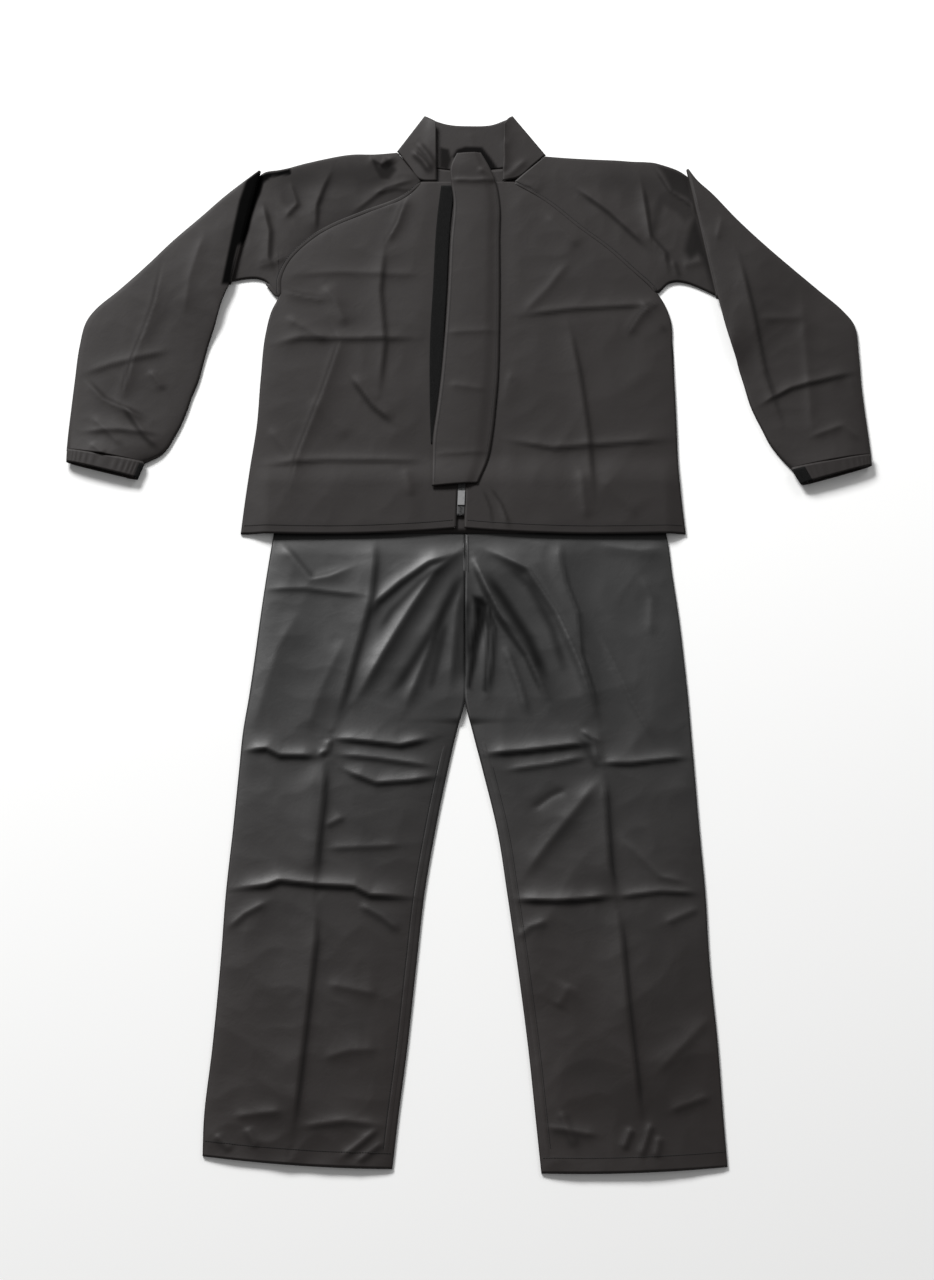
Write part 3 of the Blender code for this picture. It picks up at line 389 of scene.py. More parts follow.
# %% Creases of the sleeves
SLEEVE_CREASES = lines(
    Crease,
    # right sleeve, over the shoulder
    (3.2, 4.5, 16, -214, 641, -228, 604, -238, 571, -239, 515),
    (-3, 6, 7, -148, 660, -130, 630, -110, 653),
    (4, 8, 6, -158, 664, -135, 649, -113, 664),
    (3, 5, 10, -324, 578, -311, 523, -312, 475, -303, 450),
    (2.4, 5, 7, -281, 619, -269, 574, -288, 549),
    (2.4, 5, 6, -330, 461, -305, 468, -280, 479),
    (2.2, 8, 5, -192, 549, -130, 604, -78, 623),
    (1.8, 8, 5, -150, 593, -112, 604, -68, 600),
    # right forearm
    (2.8, 14, 4.5, -473, 472, -485, 392, -513, 296, -535, 206),
    (2.6, 5, 9, -589, 261, -556, 223, -484, 185),
    (1.8, 8, 5, -595, 268, -547, 286, -458, 311),
    (2.4, 8, 6, -463, 240, -488, 275),
    (2.8, 7, 5, -528, 220, -489, 161, -464, 137),
    (1.8, 8, 5, -590, 168, -529, 171, -462, 164),
    (2, 6, 6, -573, 195, -521, 140),
    (2, 6, 6, -573, 147, -548, 126),
    (1.8, 12, 8, -412, 519, -432, 439, -439, 367),
    # left sleeve, over the shoulder
    (3.2, 12, 5, 299, 649, 323, 600, 355, 574, 361, 549),
    (3, 5, 8, 274, 626, 287, 512, 309, 483, 314, 443),
    (3, 10, 5, 171, 608, 226, 560, 287, 494),
    (2.2, 8, 5, 71, 615, 100, 608, 115, 593),
    (2.4, 5, 6, 321, 472, 329, 439),
    (2.4, 7, 6, 336, 461, 371, 472),
    # left forearm
    (2.8, 4.5, 14, 423, 479, 442, 371, 457, 267, 479, 178),
    (2, 12, 8, 519, 421, 523, 296, 525, 157),
    (3, 10, 4.5, 442, 213, 496, 244, 602, 275),
    (1.6, 9, 6, 448, 364, 526, 367),
    (2.2, 7, 7, 519, 157, 572, 178, 601, 150),
    (1.8, 8, 6, 586, 265, 604, 206),
    (1.8, 8, 6, 402, 549, 391, 505),
)
print("sleeve creases:", len(SLEEVE_CREASES))

# %% Outlines of the painted shade in slits and hollows
PLEAT_SLIT_SHADE = in_pairs((
    -334, 643, -281, 645, -278, 630, -309, 626, -322, 615, -326, 595, -333, 574, -339, 552, -343, 526,
    -350, 505, -359, 494, -363, 472, -369, 425, -382, 425, -369, 512, -359, 576, -347, 623))
SHOULDER_SHADE = in_pairs((-303, 626, -281, 623, -269, 604, -269, 574, -279, 560, -295, 576))
SHOULDER_PUCKER_SHADE = in_pairs((
    -151, 660, -138, 647, -129, 660, -119, 654, -111, 638, -122, 619, -138, 619, -148, 638))
LEFT_SHOULDER_TROUGH_SHADE = in_pairs((299, 654, 354, 649, 355, 576, 343, 587, 323, 598, 313, 626))
LEFT_PLEAT_SLIT_SHADE = in_pairs((
    359, 552, 369, 515, 379, 472, 392, 410, 385, 416, 371, 468, 362, 483, 349, 472, 340, 490, 349, 526))
LEFT_SHOULDER_SHADE = in_pairs((
    301, 593, 314, 604, 352, 578, 361, 556, 343, 541, 330, 560, 311, 571, 296, 519, 286, 523))
NECK_SHADE = in_pairs((-43, 683, -29, 679, -25, 660, -30, 641, -43, 645))
TAB_SHADE = in_pairs((
    -24, 664, -16, 679, -2, 684, 24, 683, 37, 664, 48, 645, 62, 623, 62, 608, 43, 608, 27, 630, 14, 660))
CROTCH_SLIT_SHADE = in_pairs((
    7, 867, 24, 862, 33, 850, 30, 824, 22, 795, 16, 760, 6, 712, -1, 715, 3, 779, 12, 824))
CROTCH_SLIT_TWO_SHADE = in_pairs((27, 863, 40, 844, 35, 779, 29, 708, 22, 712, 28, 795))
KNEE_KNOT_SHADE = in_pairs((162, 636, 179, 629, 193, 592, 184, 586, 167, 617))
# a hollow is a band of painted shade along a path; its depth is how dark it is
Hollow = namedtuple("Hollow", "depth half_width points")    # depth 1 is black
TROUSER_HOLLOW_SHADES = lines(
    Hollow,
    (0.8, 12, 1, 929, -22, 867, -58, 795, -98, 724, -130, 686),
    (0.65, 8, -25, 923, -70, 886, -111, 840, -137, 795),
    (0.6, 9, -28, 834, -43, 763, -57, 696),
    (0.7, 8, 3, 876, -1, 795, -9, 708),
    (0.8, 12, 16, 916, 53, 860, 90, 795, 122, 708),
    (0.6, 9, 49, 923, 94, 880, 126, 811, 148, 724),
    (0.22, 20, 160, 962, 171, 860, 187, 779, 203, 664),
    (0.3, 13, -212, 595, -214, 496, -217, 420),
    (0.22, 14, -250, 926, -269, 860, -293, 779),
    (0.22, 16, -202, 795, -218, 715, -235, 651),
    (0.2, 18, 19, 581, 77, 558, 135, 589),
    (0.22, 16, 105, 466, 163, 512, 198, 542),
    (0.2, 22, -168, 519, -139, 466, -144, 426),
    (0.2, 22, -308, 383, -237, 368, -180, 372),
    (0.18, 24, 132, 368, 188, 353, 259, 360),
    (0.18, 30, -192, 228, -163, 199, -135, 192),
    (0.2, 30, 143, 170, 184, 128, 239, 99),
    (0.18, 26, 271, 257, 297, 185, 309, 128),
    (0.3, 34, 4, 926, -22, 827, -46, 731, -54, 667),
    (0.26, 34, 34, 926, 71, 827, 107, 731, 118, 667),
    (0.13, 75, -238, 435, -234, 243, -248, -40),
    (0.15, 85, 247, 451, 256, 243, 274, -54),
)
SLEEVE_HOLLOW_SHADES = lines(
    Hollow,
    (0.36, 34, -324, 593, -265, 623, -186, 630, -90, 619),
    (0.2, 24, -150, 585, -216, 539, -277, 472),
    (0.2, 26, 195, 626, 274, 611, 368, 585),
    (0.16, 30, -544, 175, -486, 226, -429, 350),
)
# painted shade in these outlines and in the shoulder outlines below
TROUSER_SHADES = ((CROTCH_SLIT_SHADE, 0.9), (CROTCH_SLIT_TWO_SHADE, 0.8), (KNEE_KNOT_SHADE, 0.5))     # with how dark each is
SHOULDER_SHADES = ((LEFT_PLEAT_SLIT_SHADE, 0.55), (LEFT_SHOULDER_TROUGH_SHADE, 0.5), (LEFT_SHOULDER_SHADE, 0.3),
                   (SHOULDER_PUCKER_SHADE, 0.6), (SHOULDER_SHADE, 0.25))
SATIN_EDGE, SHOULDER_EDGE = 6 * MM, 7 * MM     # how softly these outlines end
# painted shade in the slit beside a sharp fold
SATIN_SLIT_SHADE, CLOTH_SLIT_SHADE = 0.55, 0.5      # how dark a sharp fold's slit is, on the trousers and on the jacket
print("slits and hollows ready")

# %% [markdown]
# ## From a table to a smooth surface
#
# A table has a dozen rows, and cloth needs hundreds. We could subdivide, but then the outline would shrink
# away from the measured points. A Hermite curve through the rows keeps every one of them.

# %% Smooth rows and other small helpers
def smooth_step(value):
    held = np.clip(value, 0.0, 1.0)
    return held * held * (3 - 2 * held)


def smooth_rows(table, longest=CELL):
    """The table's rows with more between them, on smooth curves, and each one's index in the table."""
    rows = np.array(table, float)
    gaps = np.maximum(np.linalg.norm(np.diff(rows, axis=0), axis=1), 1e-6)
    slopes = np.diff(rows, axis=0) / gaps[:, None]
    tangents = np.vstack((slopes[:1], slopes[:1] * 0, slopes[-1:]))[[0] + [1] * (len(rows) - 2) + [2]]
    before, after = gaps[:-1, None], gaps[1:, None]
    tangents[1:-1] = (slopes[:-1] * after + slopes[1:] * before) / (before + after)
    filled, indices = [], []
    for index, gap in enumerate(gaps):
        parts = max(1, math.ceil(0.75 * gap / longest))
        t = (np.arange(parts) / parts)[:, None]
        start_weight = 2 * t ** 3 - 3 * t ** 2 + 1
        filled.append(start_weight * rows[index] + (1 - start_weight) * rows[index + 1]
                      + gap * (t ** 3 - 2 * t ** 2 + t) * tangents[index]
                      + gap * (t ** 3 - t ** 2) * tangents[index + 1])
        indices.extend(index + t[:, 0])
    return np.vstack((*filled, rows[-1:])), np.array([*indices, len(rows) - 1.0])


def between(rows, share):
    """x and y at a share of the way from each row's first point to its second."""
    return tuple(rows[:, k:k + 1] + (rows[:, k + 2:k + 3] - rows[:, k:k + 1]) * share for k in (0, 1))


def hem_bow(y, hem_y, share):
    return HEM_BOW * 4 * share * (1 - share) * np.exp(-np.maximum(y - hem_y, 0) / HEM_BOW_REACH)


print("rows down the right leg:", len(smooth_rows(LEG_RIGHT)[0]))

# %% Height of a set of creases, and the shade in them
def beside_crease(x, y, crease):
    """Distance to a crease, the side's width, and how the crease fades towards its ends."""
    points = np.array(crease.points)
    runs = np.diff(points, axis=0)
    lengths = np.linalg.norm(runs, axis=1)
    nearest = np.full_like(x, np.inf)
    left_side = np.zeros_like(x)
    travelled = np.zeros_like(x)
    for start, run, length, so_far in zip(points, runs, lengths, np.cumsum(lengths) - lengths):
        share = np.clip(((x - start[0]) * run[0] + (y - start[1]) * run[1]) / length ** 2, 0, 1)
        away_x, away_y = x - start[0] - share * run[0], y - start[1] - share * run[1]
        distance = np.hypot(away_x, away_y)
        closer = distance < nearest
        nearest = np.where(closer, distance, nearest)
        left_side = np.where(closer, run[0] * away_y - run[1] * away_x > 0, left_side)
        travelled = np.where(closer, so_far + share * length, travelled)
    width = np.where(left_side > 0.5, crease.left, crease.right) * MM
    from_end = np.minimum(travelled, lengths.sum() - travelled) / lengths.sum()
    return nearest, width, smooth_step(from_end / 0.22) * 0.85 + 0.15


def crease_height(x, y, creases):
    total = np.zeros_like(x)
    for crease in creases:
        nearest, width, fade = beside_crease(x, y, crease)
        total += crease.lift * MM * fade * np.exp(-(nearest / width) ** 1.25)
    return total


# painted shade: each millimetre of a fold's lift darkens its slit more
SLIT_SHADE_PER_MM = 0.24          # how much darker each millimetre of lift makes the slit


def crease_shade(x, y, creases, sharp=5.5):
    """Painted shade: 1 in the slit beside a fold with a sharp side, where little light gets in, and 0
    elsewhere.
    """
    total = np.zeros_like(x)
    for crease in creases:
        side = min(crease.left, crease.right) * MM
        if side > sharp * MM or crease.lift < 0:
            continue
        nearest, width, fade = beside_crease(x, y, crease)
        slit = np.exp(-((nearest - 0.9 * side) / (0.8 * side)) ** 2) * (width < side * 1.01)
        total = np.maximum(total, slit * fade * min(1.0, SLIT_SHADE_PER_MM * crease.lift))
    return total


# painted shade along the hollows between folds
def hollow_shade(x, y, hollows):
    total = np.zeros_like(x)
    for hollow in hollows:
        as_crease = Crease(1, hollow.half_width, hollow.half_width, hollow.points)
        nearest, width, fade = beside_crease(x, y, as_crease)
        total = np.maximum(total, hollow.depth * fade * np.exp(-(nearest / width) ** 2))
    return total


def within(x, y, corners, soft=3 * MM):
    """1 inside a closed outline, 0 outside, with a soft edge."""
    points = np.array(corners)
    inside = np.zeros(x.shape, bool)
    nearest = np.full(x.shape, np.inf)
    for start, end in zip(points, np.roll(points, -1, axis=0)):
        run = end - start
        share = np.clip(((x - start[0]) * run[0] + (y - start[1]) * run[1]) / (run @ run), 0, 1)
        nearest = np.minimum(nearest, np.hypot(x - start[0] - share * run[0], y - start[1] - share * run[1]))
        crosses = (start[1] > y) != (end[1] > y)
        rise = run[1] if abs(run[1]) > 1e-9 else 1e-9
        inside ^= crosses & (x < start[0] + (y - start[1]) * run[0] / rise)
    return smooth_step(0.5 + np.where(inside, nearest, -nearest) / (2 * soft))


print("creases:", len(TROUSER_CREASES) + len(JACKET_CREASES) + len(SLEEVE_CREASES))

# %% [markdown]
# Between the named creases the cloth is never quite flat. Noise gives it small dents. Folding the noise at
# zero, `1 - 2 * abs(noise)`, turns its smooth hills into ridges, which is how stiff coated cloth buckles.

# %% Small dents
def dents(x, y, size, seed):
    values = [noise.noise(Vector((a / size, b / size, seed))) for a, b in zip(x.ravel(), y.ravel())]
    return 1 - 2 * np.abs(np.array(values)).reshape(x.shape)


def soft_floor(value, lowest):
    """The value, kept above lowest without a sharp corner."""
    over = value - lowest
    return lowest + 0.5 * (over + np.sqrt(over ** 2 + (0.6 * MM) ** 2))


one_dent = dents(np.array([[0.1]]), np.array([[0.2]]), 0.05, 1.0)
print("a dent's height, as a share:", round(float(one_dent[0, 0]), 3))

# %% [markdown]
# ## Making one piece of cloth
#
# `bmesh.ops.create_grid` gives a flat grid with clean rows and columns. We only move its vertices to the
# places worked out for each row and column. Its UV map is measured in metres along the cloth, so a weave
# painted on it has the same size everywhere and follows every fold.

# %% Cloth from a grid of places
def cloth_piece(name, places, look, closed=False, shade=None):
    """places is an array of rows x columns x 3, in the whole suit's frame."""
    rows, columns = places.shape[0] - 1, places.shape[1] - 1
    shape = bmesh.new()
    shape.loops.layers.uv.new("cloth")
    bmesh.ops.create_grid(shape, x_segments=columns, y_segments=rows, size=0.5)
    mesh = bpy.data.meshes.new(name)
    shape.to_mesh(mesh)
    flat = np.zeros(len(mesh.vertices) * 3)
    mesh.vertices.foreach_get("co", flat)
    flat = flat.reshape(-1, 3)
    column = np.rint((flat[:, 0] + 0.5) * columns).astype(int)
    row = np.rint((flat[:, 1] + 0.5) * rows).astype(int)
    mesh.vertices.foreach_set("co", places[row, column].ravel())
    across = np.pad(np.cumsum(np.linalg.norm(np.diff(places, axis=1), axis=2), axis=1), ((0, 0), (1, 0)))
    across -= across[:, columns // 2][:, None]
    along = np.pad(np.cumsum(np.linalg.norm(np.diff(places[:, columns // 2], axis=0), axis=1)), (1, 0))
    corner = np.zeros(len(mesh.loops), int)
    mesh.loops.foreach_get("vertex_index", corner)
    measured = np.stack((across[row, column], along[row]), axis=1)[corner]
    mesh.uv_layers["cloth"].data.foreach_set("uv", measured.ravel())
    shape.free()
    # shade is painted shade, kept as a point attribute that the cloth's material reads
    if shade is not None:
        painted = mesh.attributes.new("underside_and_painted_shade", "FLOAT", "POINT")
        painted.data.foreach_set("value", shade[row, column])
    if closed:
        shape = bmesh.new()
        shape.from_mesh(mesh)
        bmesh.ops.remove_doubles(shape, verts=shape.verts, dist=1e-6)
        bmesh.ops.recalc_face_normals(shape, faces=shape.faces)
        shape.to_mesh(mesh)
        shape.free()
    piece = bpy.data.objects.new(name, mesh)
    bpy.context.scene.collection.objects.link(piece)
    mesh.shade_smooth()
    mesh.materials.append(look)
    return piece


def object_from(name, shape, look):
    """A linked object from a bmesh, which is freed."""
    mesh = bpy.data.meshes.new(name)
    shape.to_mesh(mesh)
    shape.free()
    mesh.materials.append(look)
    made = bpy.data.objects.new(name, mesh)
    bpy.context.scene.collection.objects.link(made)
    return made


def sewn_on(piece):
    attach(piece, "root")
    return piece


def give_wall(piece, thickness):
    wall = piece.modifiers.new("Cloth wall", "SOLIDIFY")
    wall.thickness = thickness
    wall.offset = 0.0
    wall.use_even_offset = False
    return piece


def finish_cloth(piece, thickness, nodes):
    """Wall, place on the body, and the imported solids that it replaces hidden."""
    give_wall(piece, thickness)
    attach(piece, "root")
    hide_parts(*nodes)
    return piece


print("helpers for cloth are ready")

# %% [markdown]
# ## Cloth materials
#
# Both garments are woven and then coated, so the thread shows only faintly through the coating. What the
# eye reads is the crinkle of the coating and how its gloss varies. These effects go into node groups with
# named sockets, built once and placed in each material with its own values.

# %% Node groups: weave, crinkle
def new_group(name, inputs, outputs):
    group = bpy.data.node_groups.new(name, "ShaderNodeTree")
    for label, kind, value in inputs:
        socket = group.interface.new_socket(name=label, in_out="INPUT", socket_type=kind)
        if value is not None:
            socket.default_value = value
    for label, kind in outputs:
        group.interface.new_socket(name=label, in_out="OUTPUT", socket_type=kind)
    return group, group.nodes.new("NodeGroupInput"), group.nodes.new("NodeGroupOutput")


def plug(tree, socket, value):
    """Link an output to the socket, or set the socket's own value."""
    if isinstance(value, bpy.types.NodeSocket):
        tree.links.new(value, socket)
    elif value is not None:
        socket.default_value = value


def add(tree, kind, inputs=None, **settings):
    node = tree.nodes.new(kind)
    for key, value in settings.items():
        setattr(node, key, value)
    for socket, value in (inputs or {}).items():
        plug(tree, node.inputs[socket], value)
    return node


def math_node(tree, operation, first, second=None):
    return add(tree, "ShaderNodeMath", {0: first, 1: second}, operation=operation).outputs[0]


def make_weave():
    """Plain weave: threads that cross over and under, as a height from 0 to 1."""
    group, start, end = new_group(
        "Plain weave",
        [("Vector", "NodeSocketVector", None), ("Threads per metre", "NodeSocketFloat", 1400.0)],
        [("Height", "NodeSocketFloat")])
    split = add(group, "ShaderNodeSeparateXYZ", {0: start.outputs["Vector"]})
    waves = []
    for axis in ("X", "Y"):
        turns = math_node(group, "MULTIPLY", split.outputs[axis], start.outputs["Threads per metre"])
        waves.append(math_node(group, "SINE", math_node(group, "MULTIPLY", turns, math.pi)))
    over = math_node(group, "MULTIPLY", waves[0], waves[1])
    height = math_node(group, "ADD", math_node(group, "MULTIPLY", over, 0.5), 0.5)
    group.links.new(height, end.inputs["Height"])
    return group


def make_crinkle():
    """Crinkle of a coated cloth: ridges of two sizes, and a slow mottle for its gloss and colour."""
    group, start, end = new_group(
        "Coating crinkle", [("Vector", "NodeSocketVector", None), ("Size", "NodeSocketFloat", 40.0)],
        [("Height", "NodeSocketFloat"), ("Mottle", "NodeSocketFloat")])
    heights = []
    for share, scale in ((0.7, 1.0), (0.3, 3.1)):
        cells = add(group, "ShaderNodeTexNoise", {
            "Detail": 3.0, "Distortion": 0.6, "Vector": start.outputs["Vector"],
            "Scale": math_node(group, "MULTIPLY", start.outputs["Size"], scale)}, noise_dimensions="3D")
        centred = math_node(group, "SUBTRACT", cells.outputs["Fac"], 0.5)
        ridge = math_node(group, "SUBTRACT", 1.0, math_node(group, "MULTIPLY", math_node(
            group, "ABSOLUTE", centred), 4.0))
        heights.append(math_node(group, "MULTIPLY", ridge, share))
    group.links.new(math_node(group, "ADD", heights[0], heights[1]), end.inputs["Height"])
    slow = add(group, "ShaderNodeTexNoise", {
        "Detail": 4.0, "Vector": start.outputs["Vector"],
        "Scale": math_node(group, "MULTIPLY", start.outputs["Size"], 0.22)}, noise_dimensions="3D")
    group.links.new(slow.outputs["Fac"], end.inputs["Mottle"])
    return group


WEAVE = make_weave()
CRINKLE = make_crinkle()
print("node groups:", WEAVE.name, "and", CRINKLE.name)

# %% [markdown]
# The jacket's coating is nearly matt, the trousers' is satin. Shade is painted into the cloth where little
# light
# gets in: each cloth piece carries a small point attribute of painted shade, 1 where that shade is darkest.

# %% Cloth looks
Finish = namedtuple("Finish", "dark light worn roughness gloss_change crinkle_size crinkle_depth specular")


# painted shade: the near-black colour and the extra roughness that the attribute mixes in
PAINTED_SHADE_COLOUR = (0.003, 0.003, 0.003)
PAINTED_SHADE_ROUGHER = 0.3
THREAD_DEPTH = 0.00008
LOWER_TONE_FROM, LOWER_TONE_TO = -0.05, -0.75     # the suit's Y between which the cloth turns to a browner, darker tone, towards the trouser hems


def new_look(name):
    made = bpy.data.materials.new(name)
    made.use_nodes = True
    return made, made.node_tree, made.node_tree.nodes["Principled BSDF"]


def crinkled(tree, size):
    place = add(tree, "ShaderNodeTexCoord").outputs["Object"]
    return place, add(tree, "ShaderNodeGroup", {"Size": size, "Vector": place}, node_tree=CRINKLE).outputs


def mixed(tree, factor, first, second):
    first, second = ((*value, 1) if isinstance(value, tuple) else value for value in (first, second))
    inputs = {"Factor": factor, "A": first, "B": second}
    return add(tree, "ShaderNodeMix", inputs, data_type="RGBA").outputs["Result"]


def bumped(tree, height, distance, strength=None, normal=None):
    inputs = {"Height": height, "Distance": distance, "Strength": strength, "Normal": normal}
    return add(tree, "ShaderNodeBump", inputs).outputs["Normal"]


def cloth_look(name, finish):
    made, tree, shader = new_look(name)
    measured = add(tree, "ShaderNodeUVMap", uv_map="cloth").outputs["UV"]
    weave = add(tree, "ShaderNodeGroup", {"Vector": measured}, node_tree=WEAVE).outputs
    place, crinkle = crinkled(tree, finish.crinkle_size)
    under = add(tree, "ShaderNodeAttribute", attribute_name="underside_and_painted_shade").outputs["Fac"]
    along = add(tree, "ShaderNodeSeparateXYZ", {0: place}).outputs["Y"]
    lower = add(tree, "ShaderNodeMapRange", {
        "Value": along, "From Min": LOWER_TONE_FROM, "From Max": LOWER_TONE_TO, "To Min": 0.0, "To Max": 1.0},
        interpolation_type="SMOOTHSTEP").outputs["Result"]
    coated = mixed(tree, crinkle["Mottle"], finish.dark, finish.light)
    # browner and darker towards the trouser hems
    worn = mixed(tree, lower, coated, finish.worn)
    # painted shade: the attribute turns the colour near black, roughens the coating and, as Metallic, dims
    # its gloss
    plug(tree, shader.inputs["Base Color"], mixed(tree, under, worn, PAINTED_SHADE_COLOUR))
    gloss = math_node(tree, "ADD", math_node(tree, "MULTIPLY", crinkle["Mottle"], finish.gloss_change),
                      finish.roughness - finish.gloss_change / 2)
    in_slit = math_node(tree, "MULTIPLY", under, PAINTED_SHADE_ROUGHER)
    plug(tree, shader.inputs["Roughness"], math_node(tree, "ADD", gloss, in_slit))
    plug(tree, shader.inputs["Metallic"], under)
    coarse = bumped(tree, crinkle["Height"], finish.crinkle_depth, 1.0)
    plug(tree, shader.inputs["Normal"], bumped(tree, weave["Height"], THREAD_DEPTH, 0.35, coarse))
    shader.inputs["Specular IOR Level"].default_value = finish.specular
    return made


JACKET_LOOK = cloth_look("Jacket cloth", Finish(
    dark=(0.012, 0.0098, 0.0092), light=(0.020, 0.0166, 0.0158), worn=(0.015, 0.013, 0.012),
    roughness=0.62, gloss_change=0.16, crinkle_size=30.0, crinkle_depth=0.00012, specular=0.20))
TROUSER_LOOK = cloth_look("Trouser cloth", Finish(
    dark=(0.008, 0.0078, 0.0078), light=(0.013, 0.0128, 0.0128), worn=(0.0095, 0.0055, 0.0045),
    roughness=0.48, gloss_change=0.20, crinkle_size=24.0, crinkle_depth=0.00012, specular=0.48))
print("looks:", JACKET_LOOK.name, "and", TROUSER_LOOK.name)

# %% [markdown]
# Hook-and-loop pile is a mat of tiny loops. At this size a very rough, nearly black surface with a fine
# lumpy bump says it. Thread is a little glossier than the cloth, and the zip's end piece is a grey film.

# %% Looks of the tapes, thread, zip and film
def plain_look(name, dark, light, roughness, metallic, grain, depth, specular=0.5):
    made, tree, shader = new_look(name)
    _, crinkle = crinkled(tree, grain)
    plug(tree, shader.inputs["Base Color"], mixed(tree, crinkle["Height"], dark, light))
    plug(tree, shader.inputs["Normal"], bumped(tree, crinkle["Height"], depth))
    for socket, value in (("Roughness", roughness), ("Metallic", metallic), ("Specular IOR Level", specular)):
        shader.inputs[socket].default_value = value
    return made


PILE_LOOK = plain_look(
    "Pile tape", (0.002, 0.002, 0.002), (0.010, 0.010, 0.010), 0.95, 0.0, 900.0, 0.0006, 0.08)
THREAD_LOOK = plain_look("Thread", (0.004, 0.004, 0.004), (0.012, 0.012, 0.012), 0.7, 0.0, 700.0, 0.0001, 0.3)
ZIP_LOOK = plain_look("Zip tape", (0.020, 0.020, 0.020), (0.034, 0.034, 0.034), 0.7, 0.0, 800.0, 0.0001)
FILM_LOOK = plain_look("Zip end film", (0.15, 0.15, 0.155), (0.22, 0.22, 0.22), 0.42, 0.0, 150.0, 0.0001)
METAL_LOOK = plain_look("Zip metal", (0.015, 0.015, 0.015), (0.03, 0.03, 0.03), 0.42, 0.3, 300.0, 0.00003)
print("five small looks are ready")

# %% [markdown]
# ## Trousers
#
# Each leg is two panels, sewn at the side and at the inner leg. The back lies flat on the floor. The front
# rises from its edges over the air inside the leg, and then carries the creases.

# %% Trouser legs
def leg_places(table, side, columns, front, seed):
    rows, _ = smooth_rows(table, CELL if front else WIDE_CELL)
    share = np.linspace(0, 1, columns + 1)[None, :]
    outer_x, outer_y, inner_x, inner_y = (rows[:, k][:, None] for k in range(4))
    inner_x = inner_x + side * SEAM_GAP / 2
    x = outer_x + (inner_x - outer_x) * share
    y = outer_y + (inner_y - outer_y) * share
    y = y - hem_bow(y, rows[0, 1], share)
    z = np.full_like(x, FLOOR_LAYER)
    if front:
        above_crotch = smooth_step((y - CROTCH_HEIGHT) / CROTCH_BLEND)
        from_edge = np.minimum(np.abs(x - outer_x), np.abs(x - inner_x) + above_crotch)
        near_hem = np.exp(-(y / HEM_CRUMPLE_REACH) ** 2)
        small = (1.5 * dents(x, y, 0.13, seed) + (0.45 + 0.5 * near_hem) * dents(x, y, 0.05, seed + 7)) * MM
        shaped = crease_height(x, y, TROUSER_CREASES) + small
        flattened = 1 - smooth_step((y - FOLDS_FADE_FROM) / (FOLDS_FADE_TO - FOLDS_FADE_FROM))
        puff = TROUSER_PUFF * (1 - np.exp(-from_edge / PUFF_REACH))
        lift = puff + shaped * flattened * (1 - np.exp(-from_edge / CREASE_REACH))
        z = FLOOR_LAYER + LAYER + soft_floor(lift, -0.2 * MM)
    # painted shade in the slits beside sharp folds, along the hollows and in the crotch and knee outlines
    shade = SATIN_SLIT_SHADE * crease_shade(x, y, TROUSER_CREASES, 6.5)
    shade = np.maximum(shade, hollow_shade(x, y, TROUSER_HOLLOW_SHADES))
    for outline, depth in TROUSER_SHADES:
        shade = np.maximum(shade, depth * within(x, y, outline, SATIN_EDGE))
    return np.stack((x, y, z), axis=2) + TROUSER_HEM_AT, shade


for side, table, word, seed in ((-1, LEG_RIGHT, "right", 3.0), (1, LEG_LEFT, "left", 11.0)):
    back, _ = leg_places(table, side, 24, False, seed)
    piece = cloth_piece("trousers_back_" + word + "_cloth", back, TROUSER_LOOK)
    finish_cloth(piece, CLOTH, ["trousers_back_" + word])
    front, shade = leg_places(table, side, 84, True, seed)
    piece = cloth_piece("trousers_front_" + word + "_cloth", front, TROUSER_LOOK, shade=shade)
    finish_cloth(piece, CLOTH, ["trousers_front_" + word])

# %% [markdown]
# The waistband is hidden under the jacket. It is a plain ring of cloth, drawn in by its elastic, so all it
# needs is a ripple.

# %% Waistband
def squared_off(value, power):
    return np.copysign(np.abs(value) ** power, value)


turn = np.linspace(0, math.tau, 161)[None, :]
along = np.linspace(0, 1, 9)[:, None]
ripple = 0.25 * MM * np.sin(turn * 40) * np.sin(math.pi * along)
waist_x = CENTRE_SEAM_X + WAIST_HALF_WIDTH * squared_off(np.cos(turn), 0.5) + 0 * along
waist_y = WAIST_BOTTOM + SEAM_GAP + along * WAIST_HEIGHT + 0 * turn
waist_z = (0.5 * MM + WAIST_HALF_HEIGHT + WAIST_HALF_HEIGHT * squared_off(np.sin(turn), 0.35)
           + ripple * (np.sin(turn) > 0))
waist = np.stack((waist_x, waist_y, waist_z), axis=2) + TROUSER_HEM_AT
waistband = cloth_piece("waistband_cloth", waist, TROUSER_LOOK, closed=True)
finish_cloth(waistband, CLOTH, ["waistband"])

# %% [markdown]
# ## Jacket body
#
# The back lies on the floor and, at its hem, on the trousers. The fronts lie on the back. They are flat
# beside the zip, where the flap's layers stiffen them, and stand up beside the raglan seams, where the
# sleeve's tube begins.

# %% Heights of the jacket's layers
def cover_lift(x, y):
    down_body = 1 - smooth_step((y - COVER_TOP) / COVER_RAMP)
    out_to_side = 1 - smooth_step((np.abs(x) - COVER_SIDE) / COVER_SIDE_RAMP)
    return COVER_LIFT * down_body * out_to_side


def zip_line(y):
    return ZIP_FOOT_X + ZIP_LEAN * y


def placket_height(x, y):
    return FLOOR_LAYER + cover_lift(x, y) + LAYER + JACKET_PUFF


def back_places():
    rows, _ = smooth_rows(BACK, WIDE_CELL)
    share = np.linspace(0, 1, 65)[None, :]
    x, y = between(rows, share)
    near_neck = smooth_step((rows[:, 1:2] - NECK_DIP_FROM) / NECK_DIP_BLEND)
    y = y - NECK_DIP * (4 * share * (1 - share)) ** 2 * near_neck
    return np.stack((x, y, FLOOR_LAYER + cover_lift(x, y)), axis=2) + JACKET_HEM_AT


